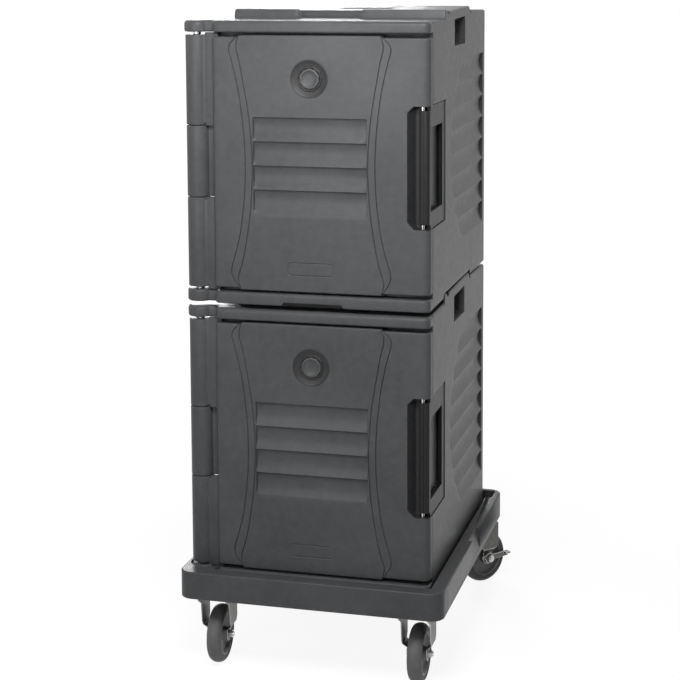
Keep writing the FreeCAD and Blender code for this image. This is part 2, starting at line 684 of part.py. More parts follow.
def strike_plates():
    """Two steel plates on the floor of the side pocket, where the latch's wing lands."""
    back = S.latch_side_end - S.strike_inset
    plates = []
    for count, low in enumerate(strike_lows()):
        plate = box(f"strike_{count}", (SIDE_FLOOR, SIDE_FLOOR + S.strike_thickness),
                    (back - S.strike_length, back), (low, low + S.strike_height))
        holes = [rod(f"strike_{count}_hole_{number}", "X", S.screw_radius,
                     (SIDE_FLOOR - 1, y, z), S.strike_thickness + 2)
                 for number, (y, z) in enumerate(screw_spots()[2 * count:2 * count + 2])]
        plates.append(cut(f"strike_plate_{count}", plate, holes))
    return plates


def strike_screws():
    """Screws that hold the strike plates."""
    screws = []
    face = SIDE_FLOOR + S.strike_thickness
    for count, (y, z) in enumerate(screw_spots()):
        screws.append(move(turned(f"strike_screw_{count}", "X", [
            (ZERO, SIDE_FLOOR - S.screw_length),
            (S.screw_radius, SIDE_FLOOR - S.screw_length),
            (S.screw_radius, face),
            (S.screw_head_radius, face),
            (S.screw_head_radius, face + S.screw_head),
            (ZERO, face + S.screw_head)]), y=y, z=z))
    return screws


# ---------------------------------------------------------------- the door

def door_knuckle(name, low, high):
    """Door knuckle on the hinge axis, with the web that joins it to the door's back half."""
    barrel = rod(f"{name}_barrel", "Z", S.knuckle_radius, (HINGE_X, HINGE_Y, low), high - low)
    web = box(f"{name}_web", (HINGE_X, LEFT + S.door_round),
              (DOOR_BACK - S.knuckle_web, DOOR_BACK), (low, high))
    return [barrel, web]


def gasket_ring(name, back, thickness):
    """Rectangular ring round the door's plug; its back face lies at y = back."""
    inside = S.mouth_margin - S.plug_gap
    outside = inside + S.gasket_width
    loops = []
    for reach in (outside, inside):
        loops.append([(-CAVITY_HALF - reach, S.cavity_floor - reach),
                      (CAVITY_HALF + reach, S.cavity_floor - reach),
                      (CAVITY_HALF + reach, CAVITY_TOP + reach),
                      (-CAVITY_HALF - reach, CAVITY_TOP + reach)])
    return move(padded(name, "Y", loops, thickness), y=back)


def door_gasket():
    """Soft gasket round the door's plug, just short of the body's face."""
    back = SEAT - S.seal_gap
    return gasket_ring("door_gasket", back, back - (DOOR_BACK - S.gasket_seat))


def door_louvres():
    """Cutter for the four scooped louvres in the door's face."""
    outline = scoops(DOOR_FACE, 1, S.door_louvre_first, S.door_louvre_pitch, DOOR_LOUVRES)
    louvres = padded("door_louvres", "X", [outline], S.door_louvre_width)
    return move(louvres, x=PANEL_X - S.door_louvre_width / 2)


def door_foam():
    """Insulation in the door's slab and plug, clear of the latch pocket and the vent."""
    skin = S.carrier_skin
    front = DOOR_FACE + S.door_foam_front
    plug = mouth("door_foam_plug", S.mouth_margin - S.plug_gap - skin, front, PLUG_BACK - skin)
    slab = box("door_foam_slab",
               (LEFT + S.door_foam_side, RIGHT - S.latch_pocket_width - skin),
               (front, DOOR_BACK - skin), (DOOR_LOW + S.door_foam_side, DOOR_HIGH - S.door_foam_side))
    vent = rod("door_foam_vent", "Y", S.vent_tube_radius + skin,
               (PANEL_X, front - 1, VENT_Z), PLUG_BACK)
    return cut("door_foam", fuse("door_foam_block", [plug, slab]), [vent])


def door_shell(foam):
    """Door moulding with its knuckles, pressed panel, latch pocket, vent seat and gasket groove."""
    slab = rounded("door_slab", box("door_box", (LEFT, RIGHT), (DOOR_FACE, DOOR_BACK),
                                    (DOOR_LOW, DOOR_HIGH)),
                   {(-1, -1): S.door_round, (1, -1): S.door_round, (-1, 1): S.door_round_back})
    lower = door_knuckle("door_knuckle_low", DOOR_LOW, S.knuckle_low - S.knuckle_gap)
    upper = door_knuckle("door_knuckle_high", S.knuckle_high + S.knuckle_gap, DOOR_HIGH)
    plug = mouth("door_plug", S.mouth_margin - S.plug_gap, DOOR_BACK - 1, PLUG_BACK)
    outer = fuse("door_outer", [slab, plug] + lower + upper)
    reliefs = []
    for side, limits in (("left", (LEFT - 1, PANEL_X - S.panel_half)),
                         ("right", (PANEL_X + S.panel_half, RIGHT + 1))):
        for end, heights in (("low", (DOOR_LOW - 1, DOOR_LOW + S.panel_hang)),
                             ("high", (DOOR_HIGH - S.panel_hang, DOOR_HIGH + 1))):
            reliefs.append(box(f"door_relief_{side}_{end}", limits,
                               (DOOR_FACE - 1, DOOR_FACE + S.door_round), heights))
    front = box("latch_pocket", (RIGHT - S.latch_pocket_width, RIGHT + 1),
                (DOOR_FACE - 1, DOOR_FACE + S.latch_pocket_depth), (S.latch_low, S.latch_high))
    side = box("latch_pocket_side", (SIDE_FLOOR, RIGHT + 1), (DOOR_FACE - 1, DOOR_BACK + 1),
               (S.latch_low, S.latch_high))
    latch_pin_hole = rod("latch_pin_hole", "Z", S.latch_pin_radius,
                         (LATCH_X, LATCH_Y, S.latch_low - S.latch_pin_seat),
                         S.latch_high - S.latch_low + 2 * S.latch_pin_seat)
    hinge_hole = rod("door_hinge_bore", "Z", S.hinge_pin_radius + S.running_gap,
                     (HINGE_X, HINGE_Y, ZERO), S.carrier_height)
    dish = move(turned("vent_dish", "Y", [
        (ZERO, DOOR_FACE - 1), (S.vent_dish_radius + 1, DOOR_FACE - 1),
        (S.vent_dish_radius, DOOR_FACE), (S.vent_bezel_radius, VENT_SEAT), (ZERO, VENT_SEAT)]),
        x=PANEL_X, z=VENT_Z)
    tube = rod("vent_hole", "Y", S.vent_tube_radius, (PANEL_X, ZERO, VENT_Z),
               PLUG_BACK + 1)
    groove = gasket_ring("gasket_groove", DOOR_BACK + 1, S.gasket_seat + 1)
    return cut("door_shell", outer, reliefs + [front, side, latch_pin_hole, hinge_hole, dish, tube,
                                               groove, door_louvres(), foam])


def vent_housing():
    """Bezel and tube that line the vent through the door."""
    bore = S.vent_stem_radius + S.running_gap
    inner = S.vent_bezel_radius - S.vent_bezel_wall
    floor = VENT_SEAT - S.vent_base
    return move(turned("vent_housing", "Y", [
        (bore, floor), (inner, floor), (inner, VENT_SEAT - S.vent_bezel_rise),
        (S.vent_bezel_radius, VENT_SEAT - S.vent_bezel_rise), (S.vent_bezel_radius, VENT_SEAT),
        (S.vent_tube_radius, VENT_SEAT), (S.vent_tube_radius, PLUG_BACK), (bore, PLUG_BACK)]),
        x=PANEL_X, z=VENT_Z)


def vent_cap():
    """Turning cap of the vent, with a ten-sided grip recess and a stem in the tube."""
    under = VENT_SEAT - S.vent_base - S.seal_gap
    face = under - S.vent_cap_height
    cap = move(turned("vent_cap_turned", "Y", [
        (ZERO, face), (S.vent_cap_radius, face), (S.vent_cap_radius, under),
        (S.vent_stem_radius, under), (S.vent_stem_radius, under + S.vent_stem_length),
        (ZERO, under + S.vent_stem_length)]), x=PANEL_X, z=VENT_Z)
    grip = hexagon("vent_grip", "Y", S.vent_grip_radius, (PANEL_X, face - 1, VENT_Z),
                   S.vent_grip_depth + 1, sides=10)
    return cut("vent_cap", cap, [grip])


def latch_handle():
    """Wrap-round latch: a barrel in the door's pocket and a wing along the carrier's side."""
    low = S.latch_low + S.latch_barrel_gap
    high = S.latch_high - S.latch_barrel_gap
    barrel = rod("latch_barrel", "Z", S.latch_barrel_radius, (LATCH_X, LATCH_Y, low), high - low)
    front = LATCH_Y - S.latch_barrel_radius
    back = LATCH_Y + S.latch_barrel_radius
    web = move(padded("latch_web", "Z", [[
        (LATCH_X, front), (WING_IN + 4, front), (WING_OUT, front + 4.5), (WING_OUT, back + 6),
        (WING_IN, back + 6), (WING_IN, back), (LATCH_X, back)]], high - low), z=low)
    wing_low = S.latch_low + S.latch_gap
    wing_high = S.latch_high - S.latch_gap
    wing = box("latch_wing", (WING_IN, WING_OUT), (back, WING_TIP), (wing_low, wing_high))
    opening = box("latch_opening", (WING_IN - 1, WING_OUT + 1),
                  (DOOR_FACE + S.latch_finger_front, WING_TIP - S.latch_grip),
                  (wing_low + S.latch_bridge_low, wing_high - S.latch_bridge_high))
    bore = rod("latch_bore", "Z", S.latch_pin_radius + S.running_gap, (LATCH_X, LATCH_Y, low - 1),
               high - low + 2)
    return cut("latch_handle", fuse("latch_solid", [barrel, web, wing]), [opening, bore])


def latch_pin():
    """Steel pin of the latch, seated in the door above and below the pocket."""
    return rod("latch_pin", "Z", S.latch_pin_radius,
               (LATCH_X, LATCH_Y, S.latch_low - S.latch_pin_seat),
               S.latch_high - S.latch_low + 2 * S.latch_pin_seat)


# ---------------------------------------------------------------- the dolly

def caster_spots():
    """Kingpin (x, y) of each caster in the dolly's own frame, with its name and swivel."""
    x = S.dolly_width / 2 - S.caster_inset_x
    y = S.dolly_depth / 2 - S.caster_inset_y
    return [("front_left", -x, -y, S.swivel_front_left_deg),
            ("front_right", x, -y, ZERO),
            ("rear_left", -x, y, S.swivel_rear_deg),
            ("rear_right", x, y, -S.swivel_rear_deg)]


def centred(name, x, y, width, depth, low, high):
    """Box round an upright centre line."""
    return box(name, (x - width / 2, x + width / 2), (y - depth / 2, y + depth / 2), (low, high))


def dolly_foam():
    """Foam in the hollow deck, with solid bosses left over the casters."""
    skin = S.dolly_skin
    x = S.dolly_width / 2 - skin
    y = S.dolly_depth / 2 - skin
    block = rounded("dolly_foam_block", box("dolly_foam_box", (-x, x), (-y, y),
                                            (S.dolly_under + skin, S.dolly_deck - skin)),
                    all_corners(S.dolly_corner - skin))
    grow = 2 * (S.caster_recess_margin + skin)
    bosses = [centred(f"boss_{name}", cx, cy, S.plate_width + grow, S.plate_depth + grow,
                      S.dolly_under, S.dolly_deck) for name, cx, cy, swivel in caster_spots()]
    return cut("dolly_filling", block, bosses)


def strap_grooves():
    """Wedge-shaped groove for a strap in each side, deepest at the rim and running out below."""
    side = S.dolly_width / 2
    deep = side - S.strap_groove_depth
    top = S.dolly_rim + 1
    low = S.strap_groove_low
    back = S.strap_groove_back + S.strap_groove / 2
    return [move(padded(f"strap_groove_{name}", "Y", [[
        (way * side, low), (way * (side + 1), low), (way * (side + 1), top),
        (way * deep, top)]], S.strap_groove), y=back) for name, way in (("left", -1), ("right", 1))]


def deck_recess():
    """Room inside the rim: the carrier's footprint, its hinge ear and the open back pocket."""
    gap = S.deck_clearance
    heights = (S.dolly_deck, S.dolly_rim + 1)
    front = S.margin_front - S.dolly_depth / 2
    ear_x = CARRIER_X + HINGE_X
    ear_y = front + HINGE_Y
    reach = S.ear_radius + S.ear_clearance
    back = S.dolly_depth / 2 - S.back_rim
    main = box("recess_main", (CARRIER_X + LEFT - gap, CARRIER_X + RIGHT + gap),
               (front - gap, back), heights)
    arm = box("recess_arm", (ear_x, CARRIER_X + LEFT), (ear_y - reach, ear_y + reach), heights)
    ear = rod("recess_ear", "Z", reach, (ear_x, ear_y, S.dolly_deck), S.dolly_rim + 1 - S.dolly_deck)
    pocket = box("recess_back", (CARRIER_X + LEFT - gap, S.dolly_width / 2 - S.back_rim),
                 (back - S.back_pocket, back), heights)
    return [main, arm, ear, pocket]


def bolt_spots():
    """Centre (x, y) of every caster bolt in the dolly's own frame."""
    spots = []
    for name, cx, cy, swivel in caster_spots():
        for i in (-1, 1):
            for j in (-1, 1):
                spots.append((cx + i * S.bolt_span_x / 2, cy + j * S.bolt_span_y / 2))
    return spots


def dolly_shell(foam):
    """Hollow moulded dolly: deck, rim, caster recesses, strap grooves and bolt holes."""
    outer = rounded("dolly_block", box(
        "dolly_box", (-S.dolly_width / 2, S.dolly_width / 2),
        (-S.dolly_depth / 2, S.dolly_depth / 2), (S.dolly_under, S.dolly_rim)),
        all_corners(S.dolly_corner))
    grow = 2 * S.caster_recess_margin
    rooms = [centred(f"recess_{name}", cx, cy, S.plate_width + grow, S.plate_depth + grow,
                     S.dolly_under - 1, PLATE_TOP) for name, cx, cy, swivel in caster_spots()]
    holes = [rod(f"dolly_hole_{count}", "Z", S.bolt_radius, (x, y, PLATE_TOP - 1),
                 S.bolt_length + 1) for count, (x, y) in enumerate(bolt_spots())]
    return cut("dolly_moulding", outer,
               deck_recess() + rooms + strap_grooves() + holes + [foam])


def caster_bolts():
    """Four hexagon bolts up through each caster plate into the deck."""
    bolts = []
    for count, (x, y) in enumerate(bolt_spots()):
        head = hexagon(f"bolt_head_{count}", "Z", S.bolt_head_radius,
                       (x, y, PLATE_LOW - S.bolt_head), S.bolt_head)
        shank = rod(f"bolt_shank_{count}", "Z", S.bolt_radius, (x, y, PLATE_LOW),
                    S.plate_thickness + S.bolt_length)
        bolts.append(fuse(f"caster_bolt_{count}", [head, shank]))
    return bolts


# ---------------------------------------------------------------- a caster

def caster_plate():
    """Top plate with the upper race."""
    plate = centred("plate_sheet", ZERO, ZERO, S.plate_width, S.plate_depth, PLATE_LOW, PLATE_TOP)
    race = rod("plate_race", "Z", S.race_radius, (ZERO, ZERO, RACE_LOW), S.race_height)
    holes = [rod("plate_kingpin_hole", "Z", S.kingpin_radius, (ZERO, ZERO, RACE_LOW - 1),
                 PLATE_TOP - RACE_LOW + 2)]
    for i in (-1, 1):
        for j in (-1, 1):
            holes.append(rod(f"plate_hole_{i + 1}_{j + 1}", "Z", S.bolt_radius + S.bolt_hole_gap,
                             (i * S.bolt_span_x / 2, j * S.bolt_span_y / 2, PLATE_LOW - 1),
                             S.plate_thickness + 2))
    return cut("caster_plate", fuse("plate_solid", [plate, race]), holes)


def kingpins():
    """Kingpins, fixed in the plates, each with the head that carries its fork."""
    neck = DISH_LOW - S.seal_gap
    return [move(turned(f"kingpin_{name}", "Z", [
        (ZERO, neck - S.kingpin_head), (S.kingpin_head_radius, neck - S.kingpin_head),
        (S.kingpin_head_radius, neck), (S.kingpin_radius, neck), (S.kingpin_radius, PLATE_TOP),
        (ZERO, PLATE_TOP)]), x, y) for name, x, y, swivel in caster_spots()]


def swivel_balls():
    """Ring of balls on the fork's dish."""
    radius = (S.ball_room - S.seal_gap) / 2
    balls = []
    for count in range(BALLS):
        angle = 2 * math.pi * count / BALLS
        ball = doc.addObject("Part::Sphere", f"swivel_ball_{count}")
        bind(ball, Radius=radius)
        balls.append(move(ball, math.cos(angle) * S.ball_circle, math.sin(angle) * S.ball_circle,
                          DISH_TOP + radius))
    return balls


def fork_leg(name, side):
    """Pressed leg of the fork: a strip joggled in towards the hub, trimmed to the leg's outline."""
    axle_y = S.trail
    axle_z = S.wheel_radius
    eye = S.leg_eye_radius
    upper_in = S.leg_upper_out - S.leg_thickness
    strip = move(padded(f"{name}_strip", "Y", [[
        (side * S.leg_upper_out, DISH_TOP), (side * S.leg_upper_out, axle_z + S.joggle_high),
        (side * LEG_OUT, axle_z + S.joggle_low), (side * LEG_OUT, axle_z - eye),
        (side * LEG_IN, axle_z - eye), (side * LEG_IN, axle_z + S.joggle_low),
        (side * upper_in, axle_z + S.joggle_high), (side * upper_in, DISH_TOP)]],
        S.leg_front + S.leg_back), y=S.leg_back)
    blade = move(padded(f"{name}_blade", "X", [[
        (-S.leg_front, DISH_TOP), (-S.leg_front, DISH_TOP - S.leg_throat),
        (ZERO, DISH_LOW - 2 * S.leg_throat), (S.leg_front_low, axle_z + S.joggle_high + S.leg_throat),
        (axle_y - eye, axle_z + S.joggle_low), (axle_y - eye, axle_z),
        (axle_y + eye, axle_z), (axle_y + eye, axle_z + S.joggle_high),
        (S.leg_back, axle_z + S.joggle_high + S.leg_throat), (S.leg_back, DISH_LOW - S.leg_throat),
        (S.leg_crown_back, DISH_TOP)]], 2 * S.leg_upper_out), x=-S.leg_upper_out)
    round_end = rod(f"{name}_eye", "X", eye, (-S.leg_upper_out, axle_y, axle_z), 2 * S.leg_upper_out)
    return overlap(name, [strip, fuse(f"{name}_outline", [blade, round_end])])


def fork():
    """Swivelling fork: dish, crown, dust skirt and two joggled legs."""
    dish = rod("fork_dish", "Z", S.dish_radius, (ZERO, ZERO, DISH_LOW), S.dish_thickness)
    crown = box("fork_crown", (-S.leg_upper_out, S.leg_upper_out), (-S.leg_front, S.leg_crown_back),
                (DISH_LOW, DISH_TOP))
    skirt = turned("fork_skirt", "Z", [
        (S.skirt_radius - S.skirt_wall, DISH_LOW), (S.skirt_radius, DISH_LOW),
        (S.skirt_radius, DISH_TOP + S.skirt_height),
        (S.skirt_radius - S.skirt_wall, DISH_TOP + S.skirt_height)])
    legs = [fork_leg("leg_left", -1), fork_leg("leg_right", 1)]
    holes = [rod("fork_kingpin_hole", "Z", S.kingpin_radius + S.running_gap,
                 (ZERO, ZERO, DISH_LOW - 1), S.dish_thickness + 2),
             rod("fork_axle_hole", "X", S.axle_radius, (-LEG_OUT - 1, S.trail, S.wheel_radius),
                 2 * LEG_OUT + 2)]
    return cut("fork", fuse("fork_solid", [dish, crown, skirt] + legs), holes)


def axle(name, room):
    """Axle bolt with its nut; room is what sits between the right leg and the nut."""
    at = (S.trail, S.wheel_radius)
    nut_x = LEG_OUT + room
    end = nut_x + S.axle_nut + S.axle_tail
    shaft = rod(f"{name}_shaft", "X", S.axle_radius, (-LEG_OUT, *at), end + LEG_OUT)
    head = hexagon(f"{name}_head", "X", S.axle_head_radius, (-LEG_OUT - S.axle_head, *at), S.axle_head)
    nut = cut(f"{name}_nut", hexagon(f"{name}_nut_block", "X", S.axle_head_radius, (nut_x, *at),
                                     S.axle_nut),
              [rod(f"{name}_nut_hole", "X", S.axle_radius, (nut_x - 1, *at), S.axle_nut + 2)])
    return [fuse(f"{name}_bolt", [shaft, head]), nut]


def tyre():
    """Tread of the wheel, rounded at the shoulders."""
    half = S.wheel_width / 2
    radius = S.wheel_radius
    soft = S.tread_round
    return move(turned("tyre", "X", [
        (S.core_radius, -half), (radius - soft, -half), (radius - SHOULDER, -half + SHOULDER),
        (radius, -half + soft), (radius, half - soft), (radius - SHOULDER, half - SHOULDER),
        (radius - soft, half), (S.core_radius, half)]), y=S.trail, z=S.wheel_radius)


def wheel_core():
    """Core of the wheel: hub, web and rim."""
    bore = S.axle_radius + S.running_gap
    hub = LEG_IN - S.seal_gap
    web = S.core_web / 2
    rim = S.wheel_width / 2 - S.core_rim_inset
    inner = S.core_radius - S.core_rim
    return move(turned("wheel_core", "X", [
        (bore, -hub), (bore, hub), (S.hub_radius, hub), (S.hub_radius, web), (inner, web),
        (inner, rim), (S.core_radius, rim), (S.core_radius, -rim), (inner, -rim), (inner, -web),
        (S.hub_radius, -web), (S.hub_radius, -hub)]), y=S.trail, z=S.wheel_radius)


def brake_lever(name, side):
    """Foot brake on the outer end of the axle: a bar with a pedal and a release tab."""
    inner = LEG_OUT + S.seal_gap
    near, far = sorted((side * inner, side * (inner + S.brake_thickness)), key=lambda size: size.value)
    y, z = S.trail, S.wheel_radius
    eye = rod(f"{name}_eye", "X", S.brake_eye_radius, (near, y, z), S.brake_thickness)
    bar = box(f"{name}_bar", (near, far), (y, y + S.brake_reach),
              (z + S.brake_lift - S.brake_bar, z + S.brake_lift))
    out = side * (inner + S.brake_thickness + S.brake_pad_width)
    pad_x = sorted((side * inner, out), key=lambda size: size.value)
    pad = box(f"{name}_pad", pad_x, (y + S.brake_reach - S.brake_pad_length, y + S.brake_reach),
              (z + S.brake_lift - S.brake_thickness, z + S.brake_lift))
    tab = box(f"{name}_tab", (near, far), (y - S.brake_tail, y), (z, z + S.brake_lift))
    bore = rod(f"{name}_bore", "X", S.axle_radius + S.running_gap, (near - 1, y, z),
               S.brake_thickness + 2)
    return cut(name, fuse(f"{name}_solid", [eye, bar, pad, tab]), [bore])


# ---------------------------------------------------------------- the whole cart

def stack_carriers():
    """Both carriers, from one set of pieces."""
    foam = body_foam()
    inner_foam = door_foam()
    room = liner_room()
    pieces = {
        "body_shell": [body_shell(foam, room)],
        "cabin_liner": [cabin_liner(room)],
        "body_foam": [foam],
        "hinge_pin": [hinge_pin()],
        "hinge_washers": hinge_washers(),
        "hinge_lugs": hinge_lugs(),
        "strike_plates": strike_plates(),
        "strike_screws": strike_screws(),
        "door_shell": [door_shell(inner_foam)],
        "door_foam": [inner_foam],
        "door_gasket": [door_gasket()],
        "vent_housing": [vent_housing()],
        "vent_cap": [vent_cap()],
        "latch_handle": [latch_handle()],
        "latch_pin": [latch_pin()],
    }
    for level, base in STACK.items():
        for name, made in pieces.items():
            node(f"{level}_{name}", made, CARRIER_X, CARRIER_Y, base)


def build_dolly():
    """Dolly with its bolts and four casters; the rear ones have foot brakes."""
    foam = dolly_foam()
    node("dolly_shell", [dolly_shell(foam)], y=DOLLY_Y)
    node("dolly_foam", [foam], y=DOLLY_Y)
    node("caster_bolts", caster_bolts(), y=DOLLY_Y)
    node("kingpins", kingpins(), y=DOLLY_Y)
    plate = caster_plate()
    moving = {"fork": [fork()], "swivel_balls": swivel_balls(), "tyre": [tyre()],
              "wheel_core": [wheel_core()]}
    plain_axle = axle("plain_axle", ZERO)
    braked_axle = axle("braked_axle", S.brake_thickness + 2 * S.seal_gap)
    left_axle = mirrored(braked_axle)
    for name, x, y, swivel in caster_spots():
        spot = (x, DOLLY_Y + y)
        node(f"{name}_caster_plate", [plate], *spot)
        for piece, made in moving.items():
            node(f"{name}_{piece}", made, *spot, swivel=swivel)
        rear = name.startswith("rear")
        axles = (left_axle if name == "rear_left" else braked_axle) if rear else plain_axle
        node(f"{name}_axle", axles, *spot, swivel=swivel)
        if rear:
            side = -1 if name == "rear_left" else 1
            lever = brake_lever(f"brake_{name}", side)
            node(f"{name}_brake_lever", [lever], *spot, swivel=swivel)


def mirrored(pieces):
    """The same pieces, mirrored left to right."""
    copies = []
    for piece in pieces:
        item = doc.addObject("Part::Mirroring", f"{piece.Name}_mirrored")
        item.Source = piece
        item.Normal = FreeCAD.Vector(1, 0, 0)
        copies.append(item)
    return copies


def write_nodes():
    """Check every object, then write each sub-part to its own file."""
    doc.recompute()
    for item in doc.Objects:
        if any(flag in item.State for flag in ("Invalid", "Error")):
            raise RuntimeError(f"{item.Label} failed: {item.State}")
    os.makedirs("parts", exist_ok=True)
    for item in nodes:
        shape = item.Shape
        if shape.isNull() or not shape.isValid() or not shape.Solids:
            raise RuntimeError(f"{item.Label} has no valid solid")
        shape.exportStep(f"parts/{item.Label}.step")
        print(f"{item.Label}: {len(shape.Solids)} solids, {shape.Volume / 1000:.1f} cm3")
    whole = Part.makeCompound([item.Shape for item in nodes]).BoundBox
    print(f"cart: x {whole.XMin:.1f} to {whole.XMax:.1f}, y {whole.YMin:.1f} to {whole.YMax:.1f}, "
          f"z {whole.ZMin:.1f} to {whole.ZMax:.1f}")


stack_carriers()
build_dolly()
write_nodes()
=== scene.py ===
"""Looks of an enclosed meal tray cart: two insulated carriers stacked on a caster dolly."""
import json
import math
import bmesh
import bpy
import numpy as np
from bpy.props import FloatProperty, FloatVectorProperty, PointerProperty
from mathutils import Matrix, Vector


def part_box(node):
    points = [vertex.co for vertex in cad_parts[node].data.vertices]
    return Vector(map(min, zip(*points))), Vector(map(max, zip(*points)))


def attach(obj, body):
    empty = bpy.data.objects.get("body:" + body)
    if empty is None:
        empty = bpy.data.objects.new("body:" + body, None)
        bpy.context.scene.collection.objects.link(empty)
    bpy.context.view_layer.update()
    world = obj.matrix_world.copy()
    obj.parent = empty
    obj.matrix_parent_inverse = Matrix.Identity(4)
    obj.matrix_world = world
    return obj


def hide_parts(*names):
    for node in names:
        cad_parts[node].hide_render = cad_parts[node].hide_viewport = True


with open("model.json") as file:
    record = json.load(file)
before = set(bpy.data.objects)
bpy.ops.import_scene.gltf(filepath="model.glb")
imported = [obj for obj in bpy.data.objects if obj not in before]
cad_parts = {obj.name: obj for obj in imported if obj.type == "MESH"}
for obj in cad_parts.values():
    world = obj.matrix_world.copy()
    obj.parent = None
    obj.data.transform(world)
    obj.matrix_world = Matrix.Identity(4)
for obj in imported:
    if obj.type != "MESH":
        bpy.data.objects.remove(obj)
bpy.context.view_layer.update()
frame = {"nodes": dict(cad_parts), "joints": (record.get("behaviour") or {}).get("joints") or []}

bl_info = {
    "name": "Meal tray cart",
    "version": (1, 0, 0),
    "blender": (4, 5, 0),
    "location": "View3D > Sidebar > Cart",
    "description": "Dresses the meal tray cart: moulded carriers, doors, latches, dolly and casters",
    "category": "Object",
}

MM = 0.001
LEVELS = ("lower", "upper")
SPOTS = ("front_left", "front_right", "rear_left", "rear_right")


# ---- settings

class CartShape(bpy.types.PropertyGroup):
    """Sizes of the moulded forms, in metres."""
    edge_round: FloatProperty(
        name="Edge rounding", description="Radius of the carriers' long edges", default=0.005, min=0.001,
        max=0.01, unit="LENGTH")
    lip_round: FloatProperty(
        name="Lip rounding", description="Radius along the top of the front flanges", default=0.008,
        min=0.002, max=0.011, unit="LENGTH")
    louvre_depth: FloatProperty(
        name="Louvre depth", description="Depth of the scooped louvres", default=0.007, min=0.001, max=0.01,
        unit="LENGTH")
    groove_depth: FloatProperty(
        name="Groove depth", description="Depth of the waisted grooves in a door", default=0.0022, min=0.0,
        max=0.004, unit="LENGTH")
    groove_width: FloatProperty(
        name="Groove half width", description="Half the width of a waisted groove", default=0.0014,
        min=0.0005, max=0.004, unit="LENGTH")
    dolly_round: FloatProperty(
        name="Dolly rounding", description="Radius of the dolly's edges", default=0.007, min=0.001,
        max=0.01, unit="LENGTH")


class CartFinish(bpy.types.PropertyGroup):
    """Colours and gloss of the cart's finishes."""
    charcoal: FloatVectorProperty(
        name="Moulded charcoal", description="Colour of the pebbled mouldings", subtype="COLOR", size=3,
        min=0, max=1, default=(0.062, 0.0635, 0.066))
    charcoal_gloss: FloatProperty(
        name="Moulding roughness", description="Roughness of the pebbled mouldings", subtype="FACTOR",
        default=0.36, min=0, max=1)
    latch: FloatVectorProperty(
        name="Latch black", description="Colour of the latches", subtype="COLOR", size=3, min=0, max=1,
        default=(0.012, 0.012, 0.0125))
    vent: FloatVectorProperty(
        name="Vent black", description="Colour of the vents", subtype="COLOR", size=3, min=0, max=1,
        default=(0.016, 0.016, 0.0165))
    tread: FloatVectorProperty(
        name="Tread grey", description="Colour of the tyres", subtype="COLOR", size=3, min=0, max=1,
        default=(0.09, 0.09, 0.091))
    core: FloatVectorProperty(
        name="Wheel core grey", description="Colour of the wheel cores", subtype="COLOR", size=3, min=0,
        max=1, default=(0.2, 0.2, 0.202))


class CartStage(bpy.types.PropertyGroup):
    """Powers of the lamps and strength of the sky."""
    key_power: FloatProperty(
        name="Key light", description="Power of the lamp over the front", default=36.0, min=0,
        subtype="POWER")
    sheen_power: FloatProperty(
        name="Sheen light", description="Power of the small lamp that lights the gloss", default=13.0,
        min=0, subtype="POWER")
    side_power: FloatProperty(
        name="Side light", description="Power of the lamp on the right", default=3.5, min=0,
        subtype="POWER")
    left_power: FloatProperty(
        name="Left light", description="Power of the lamp on the left", default=10.0, min=0,
        subtype="POWER")
    back_power: FloatProperty(
        name="Back light", description="Power of the lamp behind the cart", default=60.0, min=0,
        subtype="POWER")
    sky: FloatProperty(
        name="Sky", description="Strength of the light from all round", default=0.02, min=0)


# ---- surfaces

def spaced(places, digits=3, gap=0.25):
    """Sorted places, without those that follow too closely on the one before."""
    places = np.unique(np.round(places, digits))
    return places[np.concatenate([[True], np.diff(places) > gap])]


def levels(*spans):
    """Sorted places along a line: evenly spaced runs (start, stop, number of steps), merged."""
    return spaced(np.concatenate([np.linspace(a, b, n + 1) for a, b, n in spans]), 4, 0.2)


def ramp(value, start, stop):
    """Smooth step: 3t^2 - 2t^3, where t runs from 0 at start to 1 at stop."""
    t = np.clip((value - start) / (stop - start), 0, 1)
    return t * t * (3 - 2 * t)


def plateau(value, low, high, soft):
    """1 from low to high, falling smoothly to 0 over the distance soft on each side."""
    return ramp(value, low - soft, low) * (1 - ramp(value, high, high + soft))


def through(value, table):
    """Cubic Hermite curve through a table of (place, amount), with slopes from its neighbours."""
    at, amount = np.array(table, float).T
    slope = np.gradient(amount, at)
    i = np.clip(np.searchsorted(at, value) - 1, 0, len(at) - 2)
    width = at[i + 1] - at[i]
    t = np.clip((value - at[i]) / width, 0, 1)
    return ((2 * t**3 - 3 * t**2 + 1) * amount[i] + (t**3 - 2 * t**2 + t) * width * slope[i]
            + (3 * t**2 - 2 * t**3) * amount[i + 1] + (t**3 - t**2) * width * slope[i + 1])


def drop(distance, radius):
    """How far a quarter-round edge falls back: radius less sqrt(radius^2 - (radius - distance)^2)."""
    inside = np.clip(radius - distance, 0, radius)
    return radius - np.sqrt(radius**2 - inside**2)


def values(items, key, size, kind=float):
    """One attribute of every item, a row for each."""
    rows = np.empty(len(items) * size, kind)
    items.foreach_get(key, rows)
    return rows.reshape(-1, size)


